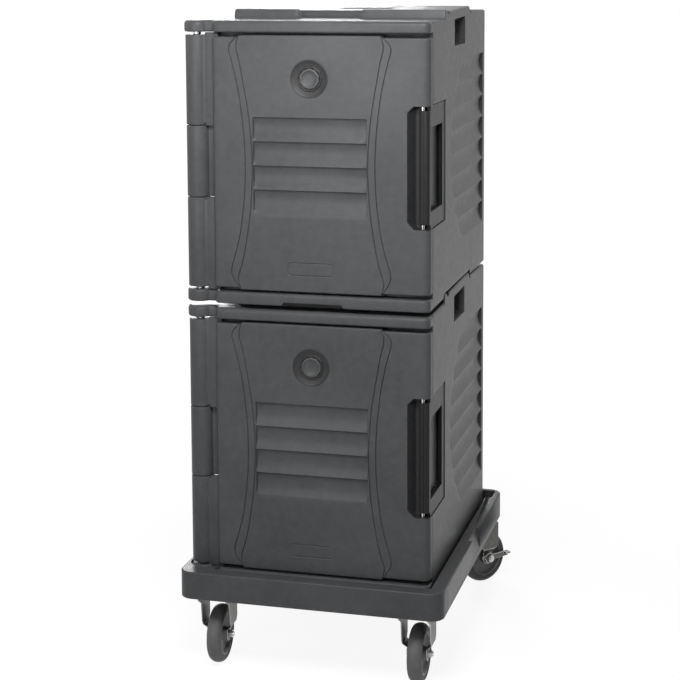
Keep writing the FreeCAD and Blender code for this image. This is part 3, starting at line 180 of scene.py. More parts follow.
class Skin:
    """Patches of one piece in millimetres, gathered and then made into one closed mesh."""

    def __init__(self):
        self.points, self.quads, self.rings, self.count = [], [], [], 0

    def grid(self, patch, around=False, keep=None):
        """Quads between neighbouring rows and columns of a grid of points."""
        rows, cols = patch.shape[:2]
        index = self.count + np.arange(rows * cols).reshape(rows, cols)
        self.points.append(patch.reshape(-1, 3))
        self.count += rows * cols
        net = np.concatenate([index, index[:, :1]], axis=1) if around else index
        quads = np.stack([net[:-1, :-1], net[:-1, 1:], net[1:, 1:], net[1:, :-1]], -1)
        self.quads.append(quads.reshape(-1, 4) if keep is None else quads[keep])
        return index

    def loft(self, rings):
        """Closed rings carried one to the next, with a flat lid at each end."""
        index = self.grid(np.asarray(rings, float), around=True)
        self.rings += [index[0][::-1], index[-1]]

    def piece(self, name, body, slot, origin, finish, node=None, sharp=35.0):
        """Make the mesh at its place, merge its seams, and dress it on its body."""
        points = np.concatenate(self.points) * MM + np.asarray(origin)
        corners = [np.concatenate(self.quads).ravel()] + self.rings
        sizes = np.concatenate([np.full(len(corners[0]) // 4, 4), [len(r) for r in self.rings]])
        mesh = bpy.data.meshes.new(name)
        mesh.vertices.add(len(points))
        mesh.vertices.foreach_set("co", points.ravel())
        loops = np.concatenate(corners).astype(np.int32)
        mesh.loops.add(len(loops))
        mesh.loops.foreach_set("vertex_index", loops)
        mesh.polygons.add(len(sizes))
        mesh.polygons.foreach_set("loop_start", (np.cumsum(sizes) - sizes).astype(np.int32))
        mesh.update(calc_edges=True)
        build = bmesh.new()
        build.from_mesh(mesh)
        bmesh.ops.remove_doubles(build, verts=build.verts, dist=0.00002)
        bmesh.ops.dissolve_degenerate(build, dist=0.00001, edges=build.edges)
        bmesh.ops.recalc_face_normals(build, faces=build.faces)
        build.to_mesh(mesh)
        build.free()
        return dress(mesh, name, body, finish, node, sharp)


def dress(mesh, name, body, finish, node, sharp):
    """Shade a mesh, give it its finish and let it ride on its body."""
    mesh.validate()
    mesh.polygons.foreach_set("use_smooth", np.ones(len(mesh.polygons), bool))
    mesh.set_sharp_from_angle(angle=math.radians(sharp))
    mesh.materials.clear()
    mesh.materials.append(finish)
    thing = bpy.data.objects.new(name, mesh)
    bpy.context.scene.collection.objects.link(thing)
    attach(thing, body)
    if node:
        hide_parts(node)
    return thing


def softened(node, name, body, finish, width, segments=3, weights=None, edge_highlight=None):
    """Merged copy of a CAD piece whose edges are rounded.

    weights gives each edge's share of the width, and edge_highlight is the lighter finish put on the
    rounded edges as a painted highlight.
    """
    mesh = frame["nodes"][node].data.copy()
    mesh.name = name
    build = bmesh.new()
    build.from_mesh(mesh)
    bmesh.ops.remove_doubles(build, verts=build.verts, dist=0.00001)
    bmesh.ops.dissolve_limit(build, angle_limit=math.radians(0.5), verts=build.verts, edges=build.edges)
    build.to_mesh(mesh)
    build.free()
    thing = dress(mesh, name, body, finish, node, 35.0)
    bevel = thing.modifiers.new("Rounding", "BEVEL")
    bevel.width = width
    bevel.segments = segments
    bevel.limit_method = "ANGLE"
    bevel.angle_limit = math.radians(30)
    bevel.harden_normals = True
    # painted highlight: the rounded edges take a lighter finish than the faces
    if edge_highlight:
        mesh.materials.append(edge_highlight)
        bevel.material = 1
    if weights:
        ends = values(mesh.edges, "vertices", 2, np.int32)
        share = weights(values(mesh.vertices, "co", 3)[ends] / MM)
        mesh.attributes.new("bevel_weight_edge", "FLOAT", "EDGE").data.foreach_set("value", share)
        bevel.limit_method = "WEIGHT"
    return thing


def join(*parts):
    """Points from their coordinates, each of them a number or an array."""
    return np.stack(np.broadcast_arrays(*parts), -1)


def arc(centre, radius, start, stop, steps=8):
    """Points along a circle, from one angle in degrees to another."""
    turn = np.radians(np.linspace(start, stop, steps + 1))
    return join(centre[0] + radius * np.cos(turn), centre[1] + radius * np.sin(turn))


def closed(*parts, step=0.0):
    """Joins runs of points into one closed outline, with long straights divided."""
    line = np.concatenate([np.atleast_2d(np.asarray(part, float)) for part in parts])
    gap = np.linalg.norm(np.roll(line, -1, 0) - line, axis=1)
    line = line[gap > 0.01]
    if not step:
        return line
    gap = np.linalg.norm(np.roll(line, -1, 0) - line, axis=1)
    return np.concatenate([a + (b - a) * np.linspace(0, 1, max(1, int(length // step)), False)[:, None]
                           for a, b, length in zip(line, np.roll(line, -1, 0), gap)])


def rectangle(x, y, radius):
    """Rectangle outline with rounded corners."""
    (x0, x1), (y0, y1), r = x, y, radius
    return closed(arc((x1 - r, y0 + r), r, -90, 0, 5), arc((x1 - r, y1 - r), r, 0, 90, 5),
                  arc((x0 + r, y1 - r), r, 90, 180, 5), arc((x0 + r, y0 + r), r, 180, 270, 5))


def slab_rings(outline, low, high, round_low, round_high, steps=4):
    """Outline carried up; near each end it is drawn in along its normals by a quarter round."""
    ahead, behind = np.roll(outline, -1, 0), np.roll(outline, 1, 0)
    tangent = ahead - behind
    tangent /= np.linalg.norm(tangent, axis=1, keepdims=True)
    inward = join(-tangent[:, 1], tangent[:, 0])
    turn = np.linspace(0, np.pi / 2, steps + 1)
    offset = np.concatenate([round_low * (1 - np.sin(turn)), round_high * (1 - np.cos(turn))])
    height = np.concatenate([low + round_low * (1 - np.cos(turn)),
                             high - round_high * (1 - np.sin(turn))])
    flat = outline[None] + inward[None] * offset[:, None, None]
    return join(flat[..., 0], flat[..., 1], height[:, None])


def lathe_rings(profile, steps, axis="z", centre=(0, 0, 0)):
    """Profile of (radius, place along the axis), turned about the axis in equal steps."""
    radius, along = np.array(profile, float).T[..., None]
    turn = np.linspace(0, 2 * np.pi, steps, endpoint=False)
    across, up = radius * np.cos(turn), radius * np.sin(turn)
    order = {"x": (along, across, up), "y": (up, along, across), "z": (across, up, along)}[axis]
    return join(*order) + np.asarray(centre, float)


def rounded_rod(radius, low, high, soft):
    """Profile of a rod whose two ends are rounded."""
    turn = np.linspace(0, np.pi / 2, 5)
    foot = join(radius - soft + soft * np.sin(turn), low + soft - soft * np.cos(turn))
    head = join(radius - soft + soft * np.cos(turn), high - soft + soft * np.sin(turn))
    return np.concatenate([foot, head])


# ---- finishes

def scaled(color, factor):
    """Colour times a factor."""
    return tuple(min(1.0, channel * factor) for channel in color)


class NodeFinish:
    """Node material, with the nodes that shape its colour, gloss and relief."""

    def __init__(self, name, **values):
        self.material = bpy.data.materials.new(name)
        self.material.use_nodes = True
        self.tree = self.material.node_tree
        self.shader = self.tree.nodes["Principled BSDF"]
        self.place = self.tree.nodes.new("ShaderNodeTexCoord").outputs["Object"]
        for key, value in values.items():
            self.shader.inputs[key.replace("_", " ")].default_value = value

    def add(self, kind, links=(), **values):
        """New node with its settings, its values and its links."""
        item = self.tree.nodes.new("ShaderNode" + kind)
        for key, value in values.items():
            if hasattr(item, key):
                setattr(item, key, value)
            else:
                item.inputs[key.replace("_", " ")].default_value = value
        for socket, source in links:
            self.tree.links.new(source, item.inputs[socket])
        return item

    def noise(self, scale, detail, rough=0.5):
        """Amount of a noise at each place."""
        return self.add("TexNoise", [("Vector", self.place)], Scale=scale, Detail=detail,
                        Roughness=rough).outputs["Fac"]

    def scale(self, amount, factor):
        """Amount times a factor."""
        product = self.add("Math", [(0, amount)], operation="MULTIPLY")
        product.inputs[1].default_value = factor
        return product.outputs[0]

    def tone(self, noise, color, dark, light, low=0.3, high=0.7):
        """Base colour that follows a noise from a dark to a light share of a colour."""
        mixed = self.add("ValToRGB", [("Fac", noise)])
        for element, place, share in zip(mixed.color_ramp.elements, (low, high), (dark, light)):
            element.position = place
            element.color = (*scaled(color, share), 1)
        self.tree.links.new(mixed.outputs["Color"], self.shader.inputs["Base Color"])

    def gloss(self, noise, low, high):
        """Roughness that runs from low to high with a noise."""
        width = self.add("MapRange", [("Value", noise)], To_Min=low, To_Max=high)
        self.tree.links.new(width.outputs["Result"], self.shader.inputs["Roughness"])

    def bumps(self, *layers):
        """Relief of stacked bumps: a height, its strength and its distance in metres."""
        below = []
        for height, strength, distance in layers:
            bump = self.add("Bump", [("Height", height), *below], Strength=strength,
                            Distance=distance)
            below = [("Normal", bump.outputs["Normal"])]
        self.tree.links.new(bump.outputs["Normal"], self.shader.inputs["Normal"])


def pebbled(name, color, rough):
    """Rotationally moulded polyethylene: fine pebble grain, faint mottling and rubbed patches."""
    look = NodeFinish(name, Specular_IOR_Level=0.14)
    mottle, cloud = look.noise(55.0, 6.0, 0.62), look.noise(7.0, 3.0)
    both = look.add("Math", [(0, mottle), (1, cloud)], operation="ADD")
    look.tone(look.scale(both.outputs[0], 0.5), color, 0.86, 1.14, 0.36, 0.64)
    look.gloss(mottle, rough - 0.09, rough + 0.13)
    pebble = look.add("TexVoronoi", [("Vector", look.place)], Scale=620.0)
    pebble.feature = "SMOOTH_F1"
    pebble.inputs["Smoothness"].default_value = 0.6
    look.bumps((pebble.outputs["Distance"], 0.16, 0.0006), (look.noise(900.0, 3.0), 0.12, 0.0003),
               (look.noise(300.0, 2.0, 0.7), 0.3, 0.0007), (cloud, 0.25, 0.002))
    return look.material


def satin_plastic(name, color, rough, specular=0.4):
    """Injection moulded plastic with a fine spark-eroded grain and light scuffs."""
    look = NodeFinish(name, Specular_IOR_Level=specular)
    scuff = look.noise(60.0, 7.0, 0.7)
    look.tone(scuff, color, 0.85, 1.25, 0.35, 0.75)
    look.gloss(scuff, rough - 0.06, rough + 0.12)
    look.bumps((look.noise(1400.0, 2.0), 0.1, 0.0002))
    return look.material


def plated_steel(name, color, rough):
    """Plated steel: soft cloudy sheen, fine rolling lines and dull spots."""
    look = NodeFinish(name, Metallic=1.0)
    cloud = look.noise(90.0, 5.0, 0.6)
    look.tone(cloud, color, 0.8, 1.08)
    look.gloss(cloud, rough - 0.08, rough + 0.14)
    stretch = look.add("Mapping", [("Vector", look.place)], Scale=(60.0, 60.0, 1800.0))
    lines = look.add("TexNoise", [("Vector", stretch.outputs["Vector"])], Scale=1.0, Detail=3.0)
    look.bumps((lines.outputs["Fac"], 0.08, 0.0002))
    return look.material


def rubber(name, color, rough):
    """Soft rubber with dust in its grain."""
    look = NodeFinish(name)
    dust = look.noise(48.0, 8.0, 0.7)
    look.tone(dust, color, 0.85, 1.3, 0.4, 0.8)
    look.gloss(dust, rough - 0.08, rough + 0.12)
    look.bumps((look.noise(1500.0, 3.0), 0.2, 0.0002))
    return look.material


def cellular_foam(name, color):
    """Rigid insulating foam: a field of small open cells."""
    look = NodeFinish(name, Roughness=0.9)
    look.tone(look.noise(14.0, 4.0), color, 0.86, 1.0)
    cells = look.add("TexVoronoi", [("Vector", look.place)], Scale=700.0)
    look.bumps((cells.outputs["Distance"], 0.5, 0.0008))
    return look.material


FINISHES = {}


class CART_OT_finishes(bpy.types.Operator):
    """Mix the cart's finishes"""
    bl_idname = "cart.finishes"
    bl_label = "Finishes"

    def execute(self, context):
        look = context.scene.cart_finish
        charcoal, latch, vent = tuple(look.charcoal), tuple(look.latch), tuple(look.vent)
        FINISHES.update(
            charcoal=pebbled("Pebbled charcoal", charcoal, look.charcoal_gloss),
            latch=satin_plastic("Latch black", latch, 0.4, specular=0.16),
            # painted shade: a darker black for the faces of the latch pockets, standing in for their shade
            seat=satin_plastic("Latch seat black", scaled(latch, 1.6), 0.5, specular=0.16),
            vent=satin_plastic("Vent black", vent, 0.42, specular=0.3),
            vent_face=satin_plastic("Vent face grey", scaled(charcoal, 0.6), 0.42),
            zinc=plated_steel("Zinc plate", (0.56, 0.57, 0.56), 0.3),
            # painted shade: a darkened copy of the zinc plate for the pressings' faces, whose rounded edges
            # take the light zinc as a painted highlight
            dark_zinc=plated_steel("Dark zinc plate", (0.115, 0.118, 0.108), 0.4),
            stainless=plated_steel("Stainless steel", (0.62, 0.62, 0.63), 0.24),
            tread=rubber("Tread rubber", tuple(look.tread), 0.62),
            gasket=rubber("Gasket rubber", (0.12, 0.12, 0.122), 0.55),
            core=satin_plastic("Wheel core grey", tuple(look.core), 0.42),
            foam=cellular_foam("Insulating foam", (0.80, 0.74, 0.52)),
        )
        return {"FINISHED"}


# ---- the carrier's body

# Carrier's own frame in millimetres: x = 0 in its middle, y = 0 at the flanges' front, z = 0 below.
HALF, DEPTH, HEIGHT = 236.0, 645.0, 606.0
CORNER = 14.0    # radius of the upright corners
FACE = 34.0      # depth at which the body begins, behind the flanges
HIDDEN = 0.4     # how far a face stands inside the neighbour that covers it
HINGE = (-279.0, 35.0)
KNUCKLE = (25.0, 2.5)    # a knuckle's radius and the rounding of its ends
FIXED_KNUCKLE = (227, 381)
DOOR_KNUCKLES = ((31.3, 225.8), (382.2, 575.7))
DOOR_WEBS = ((27.2, 226.6), (381.4, 580.4))
DOOR_FRONT, DOOR_SPAN = 4.0, (31.0, 576.0)
PANEL = -22.5    # middle of the door's panel
LOUVRE_SHARES = np.array([0, .07, .16, .27, .4, .53, .66, .76, .83, .87, .9, .93, .955, .975, .99])
SIDE_LOUVRES = (103.0, 50.75, 8)    # lowest edge, pitch and number
DOOR_LOUVRES = (197.4, 51.45, 4)
LOUVRE_END = (122.4, 124.4)         # a door louvre's end wall, from the panel's middle
# Steps of the body's front and cabin: half width, floor, ceiling, depth.
CABIN = ((196, 39, 559, FACE), (194, 41, 557, FACE + 0.8), (193, 42, 556, FACE + 3), (193, 42, 556, 62),
         (192, 43, 555, 63), (175, 60, 538, 63), (173, 62, 536, 65), (173, 62, 536, 330),
         (173, 62, 536, 594), (170, 65, 533, 597))
RAILS = (6, 112, 72, 12)            # pairs of pan rails: number, lowest, pitch and height


def carrier_origin(level):
    """Where a carrier's own frame starts, in metres."""
    low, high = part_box(f"{level}_body_foam")
    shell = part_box(f"{level}_body_shell")[0]
    return np.array([(low.x + high.x) / 2, shell.y, shell.z])


def louvre_rows(first, pitch, count):
    """Rows that catch each louvre's crease and scoop."""
    rows = first + pitch * (np.arange(count)[:, None] + LOUVRE_SHARES[None])
    return np.append(rows.ravel(), first + pitch * count)


def scoop(z, first, pitch, count):
    """Depth share of stacked scoops, where f runs from 0 to 1 up each louvre.

    A quarter sine leads in to the deepest line at f = 0.6, and a quarter ellipse back out to the lip.
    """
    place = (z - first) / pitch
    f = np.clip(place - np.floor(place), 0, 1)
    share = np.where(f < 0.6, np.sin(np.pi / 2 * f / 0.6),
                     np.sqrt(np.clip(1 - ((f - 0.6) / 0.4) ** 2, 0, 1)))
    return np.where((place > 0) & (place < count), share, 0.0)


def side_relief(y, z, depth, latch):
    """How far a side lies inside its plane: louvres with a curved front, grip and latch pockets."""
    front = 217 + 134 * np.clip((z - 306) / 203, -1, 1) ** 2
    louvres = depth * scoop(z, *SIDE_LOUVRES) * ramp(y, front, front + 14) * (1 - ramp(y, 606, 609.5))
    grip = 29.0 * plateau(y, 268, 382, 3) * plateau(z, 545.5, 591.5, 3)
    relief = np.maximum(louvres, grip)
    if latch:
        relief = np.maximum(relief, 14.0 * (1 - ramp(y, 162.5, 165)) * plateau(z, 173.8, 432.2, 1.6))
    return relief


def roof(x, y):
    """Height of the roof: ledge, front ridge in two bars, deck of the platform, valley, back block."""
    bars = lambda reach, soft: plateau(x, -reach, -92, soft) + plateau(x, 51, reach, soft)
    ridge = 19.0 * plateau(y, 166, 182, 6) * bars(240, 7)
    skirt = 10.0 * plateau(y, 168, 215, 8) * bars(250, 6)
    deck = (15.0 + 3.0 * ramp(y, 220, 430)) * plateau(y, 212, 438, 9)
    block = 1.8 * plateau(y, 300, 405, 5) * plateau(x, -24, 82, 8)
    valley = 5.0 * plateau(y, 440, 460, 5)
    back = (8.0 - 5.0 * ramp(y, 470, 632)) * plateau(y, 461, 640, 5)
    return HEIGHT + np.max(np.stack(np.broadcast_arrays(ridge, skirt, deck + block, valley, back)), 0)


def underside(y):
    """Height of the carrier's underside: the nest that takes the platform below it."""
    return 10.0 * plateau(y, 154, 451, 4)


def body_section_lines():
    """Parameters of a section: x lines below and above, z lines up the sides."""
    below = levels((-HALF, -HALF + 5, 4), (-HALF + 5, HALF - 5, 10), (HALF - 5, HALF, 4))
    above = levels((-HALF, -HALF + 5, 4), (-231, -60, 30), (-60, 70, 16), (70, 231, 28), (231, HALF, 4))
    side = spaced(np.concatenate([
        levels((0, 5, 4), (5, 100, 8), (515, 540, 3), (599, 606, 5)),
        levels((170, 176, 8), (430, 436, 8)), louvre_rows(*SIDE_LOUVRES),
        levels((541, 546, 5), (546, 591, 5), (591, 596, 5))]))
    return below, side[1:-1], above


def body_rings(shape):
    """Sections of the body across its depth, from the back to the front.

    Each ring runs along the underside, up the right side, over the roof and down the left side. Its
    corners are quarter rounds, its sides carry the relief, and near the back and the front the whole
    section is drawn in by a quarter round.
    """
    below, side, above = body_section_lines()
    y = levels((34, 38, 6), (38, 160, 16), (155, 230, 36), (216, 366, 32), (264, 272, 6), (380, 387, 6),
               (366, 435, 8), (435, 475, 22), (475, 600, 12), (604, 611, 6), (611, 645, 18))[::-1, None]
    x = np.concatenate([below, np.full(len(side), HALF), above[::-1], np.full(len(side), -HALF)])[None]
    lift = np.concatenate([np.zeros(len(below)), side, np.full(len(above), HEIGHT), side[::-1]])[None]
    edge = shape.edge_round / MM
    top, low = roof(x, y), underside(y)
    z = lift + low * np.clip(1 - lift / 60, 0, 1) + (top - HEIGHT) * np.clip((lift - 560) / 46, 0, 1)
    x = np.broadcast_to(x, z.shape)
    middle_x = np.clip(x, -HALF + edge, HALF - edge)
    middle_z = np.clip(z, low + edge, top - edge)
    out_x, out_z = x - middle_x, z - middle_z
    reach = np.maximum(np.hypot(out_x, out_z), 1e-6)
    corner = (np.abs(out_x) > 1e-6) & (np.abs(out_z) > 1e-6)
    x = np.where(corner, middle_x + edge * out_x / reach, x)
    z = np.where(corner, middle_z + edge * out_z / reach, z)
    right = slice(len(below), len(below) + len(side))
    left = slice(-len(side), None)
    x[:, right] -= side_relief(y, z[:, right], shape.louvre_depth / MM, True)
    x[:, left] += side_relief(y, z[:, left], shape.louvre_depth / MM, False)
    covered = HIDDEN * (1 - ramp(y, 36, 50))
    draw = drop(DEPTH - y, CORNER) + drop(y - FACE, 3.0) + covered
    x = x * (HALF - draw) / HALF
    sink, middle = drop(DEPTH - y, 8.0) + covered, HEIGHT / 2
    z = middle + (z - middle) * (middle - sink) / middle
    return join(x, y, z)


def inset_ring(ring, half, low, high, y):
    """Each point of a ring moved to the nearest place on a rectangle's edge, at a depth y."""
    return join(np.clip(ring[:, 0], -half, half), y, np.clip(ring[:, 2], low, high))


def flange_rings(shape, low, high, top):
    """Front flange with its hinge ear: one outline, carried up with quarter rounds at both edges."""
    lip = shape.lip_round / MM
    back = 62.0
    side = HALF - CORNER
    outline = closed(arc((side, CORNER), CORNER, -90, 0, 8), (HALF, back), arc(HINGE, 27, 90, 331, 40),
                     (-238, 22), arc((-side, CORNER), CORNER, 180, 270, 8), step=5.0)
    rings = slab_rings(outline, low, high, 4.0 if top else 3.5, lip if top else 5.0, steps=5)
    inner = ramp(rings[..., 1], 30, 46) * (rings[..., 0] > -240)
    rings[..., 0] -= HIDDEN * inner * np.sign(rings[..., 0])
    rings[..., 2] += (-HIDDEN if top else HIDDEN) * inner
    if not top:
        notch = 7.0 * plateau(rings[..., 0], -80, 45, 6) * (rings[..., 1] < 33)
        rings[..., 2] += notch * np.clip(1 - rings[..., 2] / 20, 0, 1)
    return rings


def knuckle(low, high):
    """Rings of a hinge knuckle between two heights."""
    radius, soft = KNUCKLE
    return lathe_rings(rounded_rod(radius, low, high, soft), 64, centre=(*HINGE, 0))


def carrier_body(shape):
    """Body of one carrier: moulded shell, cabin with rails, flanges with ears, fixed knuckle."""
    skin = Skin()
    outer = body_rings(shape)
    skin.loft(np.concatenate([outer, [inset_ring(outer[-1], *step) for step in CABIN]]))
    skin.loft(flange_rings(shape, 581.5, HEIGHT, True))
    skin.loft(flange_rings(shape, 0, 26, False))
    skin.loft(knuckle(*FIXED_KNUCKLE))
    skin.loft(slab_rings(rectangle((HINGE[0], -228), (31.4, 63), 1), *FIXED_KNUCKLE, 0.5, 0.5))
    count, lowest, pitch, height = RAILS
    for low in lowest + pitch * np.arange(count):
        for x in ((-176, -159), (159, 176)):
            skin.loft(slab_rings(rectangle(x, (75, 585), 4), low, low + height, 3, 3))
    return skin


class CART_OT_bodies(bpy.types.Operator):
    """Mould the carriers' bodies"""
    bl_idname = "cart.bodies"
    bl_label = "Carrier bodies"

    def execute(self, context):
        shape = context.scene.cart_shape
        for level in LEVELS:
            skin = carrier_body(shape)
            nodes = [f"{level}_{part}" for part in ("body_shell", "cabin_liner", "hinge_lugs")]
            thing = skin.piece(f"{level}_body_moulding", f"{level}_carrier", "moulded_charcoal",
                               carrier_origin(level), FINISHES["charcoal"], sharp=50)
            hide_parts(*nodes)
        return {"FINISHED"}


# ---- the doors

OUTER_GROOVE = [
    (31, 158), (40, 163), (52, 171), (66, 175), (80, 173), (100, 167), (149, 155), (190, 149),
    (230, 144.5), (303, 141.5), (375, 145), (420, 150), (456, 155), (500, 164), (530, 171.5), (550, 176),
    (563, 172), (570, 165), (576, 158)]
INNER_GROOVE = [
    (31, 154), (40, 158), (53, 160), (66, 157), (108, 146), (150, 138.5), (191, 132.5), (250, 127.5),
    (304, 126), (350, 128), (403, 133), (440, 138.5), (476, 145), (520, 153), (545, 158.5), (557, 160),
    (568, 157.5), (576, 153)]
POCKET = (187.6, 172.0, 433.0, 19.0)    # latch pocket: left edge, bottom, top and depth
VENT = (PANEL, 485.0, 48.0)             # the vent's middle, and half the window round its dish
PLATE = (80.3, 42.0, 5.3, 8.0)          # plate field: middle height, half sizes inside its corners, radius


def door_rows():
    """Heights of the door's rows: quarter-round ends, louvres, vent window, pocket and plate field."""
    low, high = DOOR_SPAN
    return spaced(np.concatenate([
        levels((low, 34, 5), (34, 64, 8), (64, 97, 44), (96, 170, 14), (171, 176, 8), (176, 188, 8),
               (419, 430, 7), (429, 434, 8), (533, 573, 10), (573, high, 5)),
        np.linspace(VENT[1] - VENT[2], VENT[1] + VENT[2], 13), louvre_rows(*DOOR_LOUVRES)]))


def door_columns(z, width):
    """Places across the door's face, one row of columns for each height.

    The columns follow both waisted grooves on each side, so that a groove's bottom always lies on a
    column; between them they are spread evenly.
    """
    outer, inner = through(z, OUTER_GROOVE), through(z, INNER_GROOVE)
    turn = np.linspace(0, np.pi / 2, 6)
    left_round = -HALF + 8 * (1 - np.cos(turn))
    right_round = HALF - CORNER + CORNER * np.sin(np.linspace(0, np.pi / 2, 9))
    fixed = np.concatenate([np.linspace(-75, -48, 4), np.linspace(-48, 48, 13)[1:],
                            np.linspace(48, 75, 4)[1:]])
    ends = np.linspace(42, 52, 13)
    fixed = np.concatenate([fixed[np.abs(np.abs(fixed) - 47) > 5.5], ends, -ends])
    fixed = np.unique(np.round(fixed, 3)) + PANEL
    one = np.ones_like(z)
    near, far = LOUVRE_END
    marks = [near * one, far * one, inner - width, inner, inner + width, outer - width, outer,
             outer + width]
    left_keys = [left_round[-1] * one, *(PANEL - mark for mark in marks[::-1]), fixed[0] * one]
    right_keys = [fixed[-1] * one, *(PANEL + mark for mark in marks), POCKET[0] * one]
    left_steps, right_steps = [6, 1, 1, 4, 1, 1, 1, 1, 6], [6, 1, 1, 1, 1, 4, 1, 1, 5]
    columns = [left_round[:-1, None] * one]
    for keys, steps in ((left_keys, left_steps), (right_keys, right_steps)):
        for a, b, n in zip(keys, keys[1:], steps):
            share = np.linspace(0, 1, n, endpoint=False)[:, None]
            columns.append(a + (b - a) * share)
        if keys is left_keys:
            columns.append(fixed[:-1, None] * one)
    pocket = np.concatenate([np.linspace(POCKET[0], POCKET[0] + 18, 10)[:-1],
                             np.linspace(POCKET[0] + 18, HALF - CORNER, 5)[:-1]])
    columns += [pocket[:, None] * one, right_round[:, None] * one]
    return np.concatenate(columns).T


def door_relief(x, z, shape):
    """How far the door's face lies behind its front plane.

    Grooves are narrow cosine troughs on both waisted curves, the band between them swells a little,
    the louvres are scoops with straight ends. The plate field is a thin trough along a rounded
    rectangle, whose distance is length(max(q, 0)) + min(max(qx, qy), 0) - r.
    """
    outer, inner = through(z, OUTER_GROOVE), through(z, INNER_GROOVE)
    width, away = shape.groove_width / MM, np.abs(x - PANEL)
    trough = lambda curve: np.clip(1 - np.abs(away - curve) / width, 0, 1)
    relief = shape.groove_depth / MM * np.maximum(trough(outer), trough(inner))
    band = np.clip((away - inner) / np.maximum(outer - inner, 0.1), 0, 1)
    relief = relief - 0.5 * np.sin(np.pi * band)
    louvres = shape.louvre_depth / MM * scoop(z, *DOOR_LOUVRES)
    relief = relief + louvres * (1 - ramp(away, *LOUVRE_END))
    middle, half_wide, half_high, radius = PLATE
    across, up = away - half_wide, np.abs(z - middle) - half_high
    reach = np.hypot(np.maximum(across, 0), np.maximum(up, 0)) - radius
    reach = reach + np.minimum(np.maximum(across, up), 0)
    return relief + 1.1 * np.clip(1 - np.abs(reach) / 1.3, 0, 1) + 0.35 * (reach < 0)


def door_face(shape):
    """Grid of the door's face, with quarter-round edges and the latch pocket.

    In the pocket's rows the face slopes to the pocket's floor, and its last columns run straight
    back along the cut in the door's edge.
    """
    z = door_rows()
    x = door_columns(z, shape.groove_width / MM)
    rows = z[:, None] * np.ones_like(x)
    y = DOOR_FRONT + door_relief(x, rows, shape)
    y = y + drop(x + HALF, 8.0) + drop(HALF - x, CORNER)
    left, low, high, deep = POCKET
    slope = np.minimum((x - left) / 15, (x - left + rows - low - 14) / 9)
    slope = np.minimum(slope, (x - left + high - rows - 14) / 9)
    wall = np.minimum(rows - low, high - rows) / 1.4
    pocket = deep * np.clip(np.minimum(slope, wall), 0, 1)
    cut = HALF - CORNER
    y = np.where(x < cut, np.maximum(y, DOOR_FRONT + pocket), y)
    edge = (np.clip(wall, 0, 1) > 0.5) & (x > cut + 1e-6)
    share = np.clip((x - cut) / CORNER, 0, 1)
    y = np.where(edge, DOOR_FRONT + deep + 8 * share, y)
    x = np.where(edge, cut, x)
    return x, y, rows


def door_shell(shape):
    """Door slab with its face, plug, knuckles and webs."""
    skin = Skin()
    x, y, z = door_face(shape)
    low, high = DOOR_SPAN
    end = drop(z - low, 3.0) + drop(high - z, 3.0)
    back_y = np.full(x.shape, 31.0) - end
    y = np.minimum(y + end, 30.5 - end * 0.5)
    x = x * (HALF - end) / HALF
    hang = 4.0 * ramp(np.abs(x - PANEL), 154, 158)
    z = (low + hang) + (z - low) * (high - low - 2 * hang) / (high - low)
    face, back = join(x, y, z), join(np.clip(x, -HALF + 2, HALF), back_y, z)
    middle_x, middle_z = 0.5 * (x[:-1, :-1] + x[1:, 1:]), 0.5 * (z[:-1, :-1] + z[1:, 1:])
    window = (np.abs(middle_x - VENT[0]) < VENT[2]) & (np.abs(middle_z - VENT[1]) < VENT[2])
    skin.grid(face, keep=~window)
    skin.grid(back)
    for strip in ((face[0], back[0]), (face[-1], back[-1]), (face[:, 0], back[:, 0]),
                  (face[:, -1], back[:, -1])):
        skin.grid(np.stack(strip))
    skin.grid(vent_dish(), around=True)
    skin.loft(slab_rings(rectangle((-190, 190), (45, 553), 6), 28, 57, 1, 3)[..., [0, 2, 1]])
    for span in DOOR_KNUCKLES:
        skin.loft(knuckle(*span))
    for low, high in DOOR_WEBS:
        skin.loft(slab_rings(rectangle((-256, -226), (17.5, 30.5), 2), low, high, 1, 1))
        skin.loft(slab_rings(rectangle((HINGE[0], -254), (17.5, 30.5), 2), low + 5, high - 5, 1, 1))
    return skin


def vent_rings(turn, steps, share=1.0):
    """Rings about the vent's axis in the given directions, one for each (radius, depth)."""
    return [join(VENT[0] + radius * share * np.cos(turn), depth, VENT[1] + radius * share * np.sin(turn))
            for radius, depth in steps]


def vent_dish():
    """Patch from the square window in the face to a round dish: rings of the same 48 directions.

    The first ring lies on the window's edge, the others on circles that step down a cone.
    """
    x0, z0, half = VENT
    side = np.linspace(-half, half, 13)[:-1]
    square = np.concatenate([join(side, -half), join(half, side), join(-side, half), join(-half, -side)])
    turn = np.arctan2(square[:, 1], square[:, 0])
    steps = [(42.0, 0.0), (40.4, 0.15), (39.6, 0.7), (38.8, 1.5), (34, 5), (28, 9), (1, 9), (0.01, 9)]
    edge = join(x0 + square[:, 0], DOOR_FRONT, z0 + square[:, 1])
    return np.array([edge] + vent_rings(turn, [(radius, DOOR_FRONT + depth) for radius, depth in steps]))


def line_seat(mesh, origin):
    """Painted shade: a darker black on the faces of the door's latch pocket, standing in for the shade
    inside it: those behind its face, inside its outline.
    """
    x, y, z = ((values(mesh.polygons, "center", 3) - origin) / MM).T
    left, low, high = POCKET[:3]
    inside = (x > left - 1) & (z > low) & (z < high) & (y > 5.2) & (y < 30.4) & (x < HALF - 1)
    mesh.materials.append(FINISHES["seat"])
    mesh.polygons.foreach_set("material_index", inside.astype(np.int32))


class CART_OT_doors(bpy.types.Operator):
    """Mould the doors with their panels and louvres, and paint shade into their latch pockets"""
    bl_idname = "cart.doors"
    bl_label = "Doors"

    def execute(self, context):
        for level in LEVELS:
            origin = carrier_origin(level)
            thing = door_shell(context.scene.cart_shape).piece(
                f"{level}_door_moulding", f"{level}_door", "moulded_charcoal", origin,
                FINISHES["charcoal"], f"{level}_door_shell", sharp=42)
            line_seat(thing.data, origin)
        return {"FINISHED"}


# ---- vents and latches

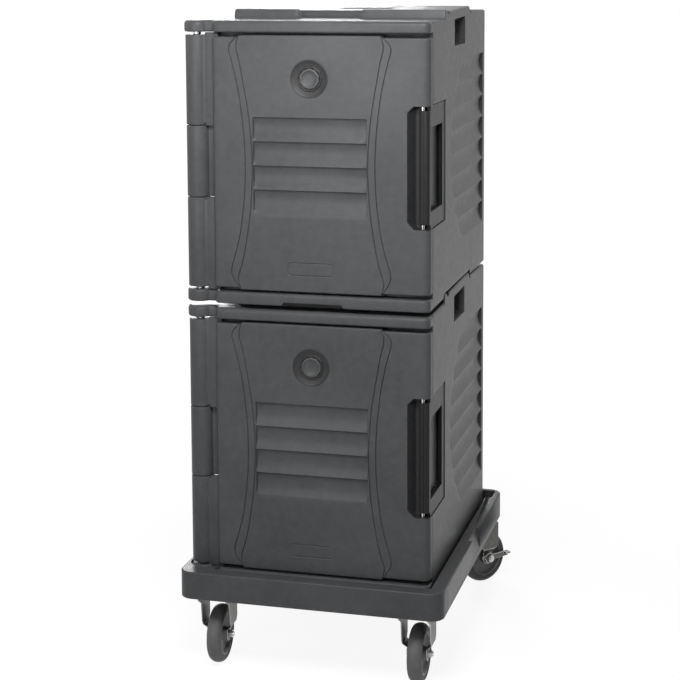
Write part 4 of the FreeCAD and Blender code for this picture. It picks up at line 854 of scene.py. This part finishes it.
def ten_sided(steps):
    """Directions round a circle, and each one's share of the radius on a ten-sided outline.

    The share is cos(18) / cos(angle from the nearest side's middle).
    """
    turn = np.arange(steps) * 2 * np.pi / steps
    return turn, np.cos(np.pi / 10) / np.cos((turn + np.pi / 10) % (np.pi / 5) - np.pi / 10)


def vent_housing():
    """Cone-lined bezel with a raised ten-sided ring, and the tube through the door."""
    skin = Skin()
    profile = [(8.1, 57), (14, 57), (14, 12), (27.5, 11.8), (39.8, 3.9), (40, 3.2), (39.6, 2.9),
               (38.6, 3.0), (28.4, 9.6), (27.8, 9.4), (27.5, 8.8), (27.4, 7.6), (26.9, 7.05), (26, 6.9),
               (24.3, 6.9), (23.7, 7.2), (23.4, 8), (23.4, 10), (8.1, 10)]
    rings = lathe_rings(profile, 120, "y")
    radius = np.array(profile)[:, 0]
    sided = ((radius > 20) & (radius < 29))[:, None] * (ten_sided(120)[1] - 1) + 1
    rings = rings * np.stack([sided, np.ones_like(sided), sided], -1) + np.array([VENT[0], 0, VENT[1]])
    skin.grid(np.concatenate([rings, rings[:1]]), around=True)
    return skin


def vent_cap():
    """Ten-sided turning cap: its outline is a decagon whose rings step down a soft edge."""
    skin = Skin()
    turn, flat = ten_sided(40)
    steps = [(22.4, 9.6), (22.4, 6.2), (21.9, 5.4), (21.0, 5.05), (17.6, 5.0), (16.6, 5.4), (16.0, 6.4),
             (15.0, 6.8), (4.0, 6.8)]
    skin.loft(vent_rings(turn, steps, flat))
    skin.loft(lathe_rings(rounded_rod(8, 9, 51, 1), 32, "y", (VENT[0], 0, VENT[1])))
    return skin


class CART_OT_vents(bpy.types.Operator):
    """Turn the vents' bezels and caps"""
    bl_idname = "cart.vents"
    bl_label = "Vents"

    def execute(self, context):
        for level in LEVELS:
            origin = carrier_origin(level)
            vent_housing().piece(f"{level}_vent_bezel", f"{level}_door", "vent_black", origin,
                                 FINISHES["vent"], f"{level}_vent_housing", sharp=60)
            vent_cap().piece(f"{level}_vent_knob", f"{level}_vent", "vent_black", origin,
                             FINISHES["vent_face"], f"{level}_vent_cap", sharp=30)
        return {"FINISHED"}


class CART_OT_latches(bpy.types.Operator):
    """Round the latches"""
    bl_idname = "cart.latches"
    bl_label = "Latches"

    def execute(self, context):
        for level in LEVELS:
            softened(f"{level}_latch_handle", f"{level}_latch_wing", f"{level}_latch",
                     FINISHES["latch"], 0.0012)
        return {"FINISHED"}


# ---- dolly and casters

def dolly_edge_shares(ends):
    """Rounding share of each edge of the dolly: outer rim and foot full, rim inside half, pocket corners.

    An edge counts as outer where both its ends and its middle lie on the rounded outline, whose signed
    distance is length(max(q, 0)) + min(max(qx, qy), 0) - r, with q the distance past the inner corner.
    """
    low, high = (np.array(corner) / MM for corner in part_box("dolly_shell"))
    middle = (low + high) / 2
    corner = 30.0
    spots = np.concatenate([ends, ends.mean(axis=1, keepdims=True)], axis=1)
    q = np.abs(spots[..., :2] - middle[:2]) - (high - low)[:2] / 2 + corner
    reach = np.hypot(*np.maximum(q, 0).transpose(2, 0, 1)) + np.minimum(q.max(axis=-1), 0) - corner
    outer = (np.abs(reach) < 0.6).all(axis=1)
    rim = (ends[..., 2] > high[2] - 0.1).all(axis=1)
    foot = (ends[..., 2] < low[2] + 0.1).all(axis=1)
    upright = (np.abs(ends[:, 0, :2] - ends[:, 1, :2]).max(axis=1) < 0.1) & (ends[..., 2].max(axis=1) > 225)
    pocket = upright & (ends[:, 0, 1] > middle[1] + 300) & ~outer
    return np.select([rim & outer, rim, foot & outer, pocket], [1.0, 0.5, 0.8, 1.0])


class CART_OT_dolly(bpy.types.Operator):
    """Round the dolly's rim and deck"""
    bl_idname = "cart.dolly"
    bl_label = "Dolly"

    def execute(self, context):
        softened("dolly_shell", "dolly_moulding", "dolly", FINISHES["charcoal"],
                 context.scene.cart_shape.dolly_round, segments=5, weights=dolly_edge_shares)
        return {"FINISHED"}


def turned_piece(profile, spot, name, slot, finish, node):
    """Wheel part turned about its axle: profile of (radius, place along the axle) in millimetres."""
    joint = next(j for j in frame["joints"] if j["name"] == f"{spot}_roll")
    centre, axis = np.array(joint["pos_m"], float), np.array(joint["axis"], float)
    across = np.array([-axis[1], axis[0], 0.0])
    rings = lathe_rings(profile, 96, "x")
    placed = rings[..., :1] * axis + rings[..., 1:2] * across + rings[..., 2:] * np.array([0, 0, 1.0])
    skin = Skin()
    skin.grid(np.concatenate([placed, placed[:1]]), around=True)
    return skin.piece(name, f"{spot}_wheel", slot, centre, finish, node, sharp=40)


def tread_profile():
    """Tyre: crowned tread, an ellipse from wall to wall, and a shallow moulded line on each wall."""
    turn = np.linspace(0, np.pi / 2, 12)
    crown = join(52.5 + 11.0 * np.cos(turn), 16.0 * np.sin(turn))
    wall = [(51.6, 15.9), (51.2, 15.3), (50.6, 15.3), (50.2, 15.9), (48.2, 15.9)]
    half = np.concatenate([crown, wall])
    return np.concatenate([half[1:], (half * [1, -1])[::-1]])


def core_profile():
    """Core: rim, dished web and hub with a bearing face."""
    half = np.array([(48.1, 14.2), (46.8, 15.0), (43.4, 14.8), (42.2, 13.6), (41.2, 8.4), (38.8, 6.4),
                     (30, 5.3), (20, 5.6), (16.5, 7.0), (15.0, 12.0), (14.0, 15.2), (13.2, 17.2),
                     (10.6, 17.4), (10.0, 16.6), (5.1, 16.6)])
    return np.concatenate([half, (half * [1, -1])[::-1]])


class CART_OT_casters(bpy.types.Operator):
    """Turn the wheels and round the forks, plates and brake levers"""
    bl_idname = "cart.casters"
    bl_label = "Casters"

    def execute(self, context):
        for spot in SPOTS:
            turned_piece(tread_profile(), spot, f"{spot}_tread", "tread_grey", FINISHES["tread"],
                         f"{spot}_tyre")
            turned_piece(core_profile(), spot, f"{spot}_hub", "core_grey", FINISHES["core"],
                         f"{spot}_wheel_core")
            pressings = [("fork", "fork_pressing", f"{spot}_fork", 0.0009),
                         ("caster_plate", "plate_pressing", "dolly", 0.0008)]
            if spot.startswith("rear"):
                pressings.append(("brake_lever", "pedal", f"{spot}_brake", 0.001))
            for node, name, body, width in pressings:
                # painted shade on the faces (darkened zinc) and painted highlight on the rounded edges
                # (light zinc)
                softened(f"{spot}_{node}", f"{spot}_{name}", body, FINISHES["dark_zinc"],
                         width, segments=2, edge_highlight=FINISHES["zinc"])
        return {"FINISHED"}


# ---- small parts that keep their shape

KEPT = {
    "foam": ("body_foam", "door_foam", "dolly_foam"),
    "gasket": ("door_gasket",),
    "stainless": ("hinge_pin", "hinge_washers", "strike_plates", "strike_screws", "latch_pin",
                  "swivel_balls"),
    "zinc": ("caster_bolts", "kingpins", "axle"),
}


class CART_OT_small_parts(bpy.types.Operator):
    """Finish the pins, screws, bolts, gaskets and foam"""
    bl_idname = "cart.small_parts"
    bl_label = "Small parts"

    def execute(self, context):
        for name, thing in frame["nodes"].items():
            mesh = thing.data
            for finish, endings in KEPT.items():
                if name.endswith(endings):
                    mesh.materials.clear()
                    mesh.materials.append(FINISHES[finish])
                    mesh.polygons.foreach_set("material_index", np.zeros(len(mesh.polygons), np.int32))
        return {"FINISHED"}


# ---- stage

CAMERA = {"from_lower_carrier": (0.9828, -3.5294, 1.3740), "yaw": 15.142, "pitch": 6.558,
          "roll": -0.317, "focal_px": 1761.9, "centre_px": (331.9, 150.0)}
FRAME_PX, SENSOR_MM = 680, 36.0


# Soft square lamps: place, aim and size in metres. Each one's power is a setting of the stage.
LAMPS = {
    "key": ((0.3, -1.5, 2.0), (0, -0.35, 1.35), 0.7),
    "sheen": ((-0.45, -2.4, 1.25), (0, -0.3, 1.3), 0.6),
    "side": ((2.0, 0.6, 2.6), (0.25, 0, 1.3), 1.0),
    "left": ((-2.5, -0.5, 2.0), (-0.2, 0, 1.2), 1.0),
    "back": ((-1.3, 3.4, 1.5), (0, 0.3, 0.9), 1.4),
}


def white_backdrop_world(strength):
    """Even sky that the camera, mirrors and glass see as plain white."""
    world = bpy.data.worlds.new("Studio")
    bpy.context.scene.world = world
    world.use_nodes = True
    tree = world.node_tree
    tree.nodes.clear()
    path, soft, white, both, seen, mix, out = (tree.nodes.new(f"ShaderNode{kind}") for kind in (
        "LightPath", "Background", "Background", "Math", "Math", "MixShader", "OutputWorld"))
    for light, level in ((soft, strength), (white, 1.0)):
        light.inputs["Color"].default_value = (1, 1, 1, 1)
        light.inputs["Strength"].default_value = level
    both.operation = seen.operation = "MAXIMUM"
    rays = [path.outputs[f"Is {kind} Ray"] for kind in ("Camera", "Transmission", "Glossy")]
    for source, node, socket in (
            (rays[0], both, 0), (rays[1], both, 1), (both.outputs[0], seen, 0), (rays[2], seen, 1),
            (seen.outputs[0], mix, 0), (soft.outputs[0], mix, 1), (white.outputs[0], mix, 2),
            (mix.outputs[0], out, 0)):
        tree.links.new(source, node.inputs[socket])


def floor_plane():
    """Pale floor that fades to white away from the cart and keeps its shadow."""
    mesh = bpy.data.meshes.new("floor")
    far = 30
    mesh.from_pydata([(-far, -far, 0), (far, -far, 0), (far, far, 0), (-far, far, 0)], [], [(0, 1, 2, 3)])
    thing = bpy.data.objects.new("floor", mesh)
    bpy.context.scene.collection.objects.link(thing)
    look = NodeFinish("Pale floor", Base_Color=(0.8, 0.8, 0.8, 1), Roughness=0.9, Specular_IOR_Level=0.1)
    reach = look.add("VectorMath", [(0, look.place)], operation="LENGTH")
    fade = look.add("MapRange", [("Value", reach.outputs["Value"])], From_Min=0.8, From_Max=3.5,
                    To_Min=1.13, To_Max=1.28)
    glow = look.add("Emission", [("Strength", fade.outputs["Result"])])
    path = look.add("LightPath")
    seen = look.add("Math", [(0, path.outputs["Is Camera Ray"]),
                                       (1, path.outputs["Is Glossy Ray"])], operation="MAXIMUM")
    mix = look.add("MixShader", [(0, look.scale(seen.outputs[0], 0.8)),
                                           (1, look.shader.outputs["BSDF"]),
                                           (2, glow.outputs["Emission"])])
    look.tree.links.new(mix.outputs["Shader"], look.tree.nodes["Material Output"].inputs["Surface"])
    mesh.materials.append(look.material)


class CART_OT_stage(bpy.types.Operator):
    """Set the camera, lamps, sky and floor"""
    bl_idname = "cart.stage"
    bl_label = "Stage"

    def execute(self, context):
        scene = context.scene
        look = scene.cart_stage
        data = bpy.data.cameras.new("camera")
        camera = bpy.data.objects.new("camera", data)
        scene.collection.objects.link(camera)
        turn = (Matrix.Rotation(math.radians(CAMERA["yaw"]), 4, "Z")
                @ Matrix.Rotation(math.radians(90 - CAMERA["pitch"]), 4, "X")
                @ Matrix.Rotation(math.radians(CAMERA["roll"]), 4, "Z"))
        place = carrier_origin("lower") + np.array(CAMERA["from_lower_carrier"])
        camera.matrix_world = Matrix.Translation(place.tolist()) @ turn
        data.sensor_width = SENSOR_MM
        data.sensor_fit = "HORIZONTAL"
        data.lens = CAMERA["focal_px"] * SENSOR_MM / FRAME_PX
        data.shift_x = (FRAME_PX / 2 - CAMERA["centre_px"][0]) / FRAME_PX
        data.shift_y = (CAMERA["centre_px"][1] - FRAME_PX / 2) / FRAME_PX
        scene.camera = camera
        scene.view_settings.view_transform = "Standard"
        white_backdrop_world(look.sky)
        for name, (place, aim, size) in LAMPS.items():
            lamp = bpy.data.lights.new(name, "AREA")
            lamp.energy, lamp.size = getattr(look, f"{name}_power"), size
            thing = bpy.data.objects.new(name, lamp)
            scene.collection.objects.link(thing)
            thing.location = place
            thing.rotation_euler = (Vector(aim) - Vector(place)).to_track_quat("-Z", "Y").to_euler()
        floor_plane()
        return {"FINISHED"}


# ---- panel and registration

STEPS = ("finishes", "bodies", "doors", "vents", "latches", "dolly", "casters", "small_parts", "stage")


class CART_PT_panel(bpy.types.Panel):
    """Sidebar panel of the cart"""
    bl_idname = "CART_PT_panel"
    bl_label = "Meal tray cart"
    bl_space_type = "VIEW_3D"
    bl_region_type = "UI"
    bl_category = "Cart"

    def draw(self, context):
        for group in (context.scene.cart_shape, context.scene.cart_finish, context.scene.cart_stage):
            box = self.layout.box()
            for key in group.__annotations__:
                box.prop(group, key)
        for step in STEPS:
            self.layout.operator(f"cart.{step}")


CLASSES = (CartShape, CartFinish, CartStage, CART_OT_finishes, CART_OT_bodies, CART_OT_doors,
           CART_OT_vents, CART_OT_latches, CART_OT_dolly, CART_OT_casters, CART_OT_small_parts,
           CART_OT_stage, CART_PT_panel)


def register():
    """Register the classes and hang the settings on the scene."""
    for item in CLASSES:
        bpy.utils.register_class(item)
    bpy.types.Scene.cart_shape = PointerProperty(type=CartShape)
    bpy.types.Scene.cart_finish = PointerProperty(type=CartFinish)
    bpy.types.Scene.cart_stage = PointerProperty(type=CartStage)


def unregister():
    """Take the settings off the scene and unregister the classes."""
    del bpy.types.Scene.cart_stage
    del bpy.types.Scene.cart_finish
    del bpy.types.Scene.cart_shape
    for item in reversed(CLASSES):
        bpy.utils.unregister_class(item)


def main():
    """Dress the cart step by step."""
    register()
    for step in STEPS:
        getattr(bpy.ops.cart, step)()


if __name__ == "__main__":
    main()
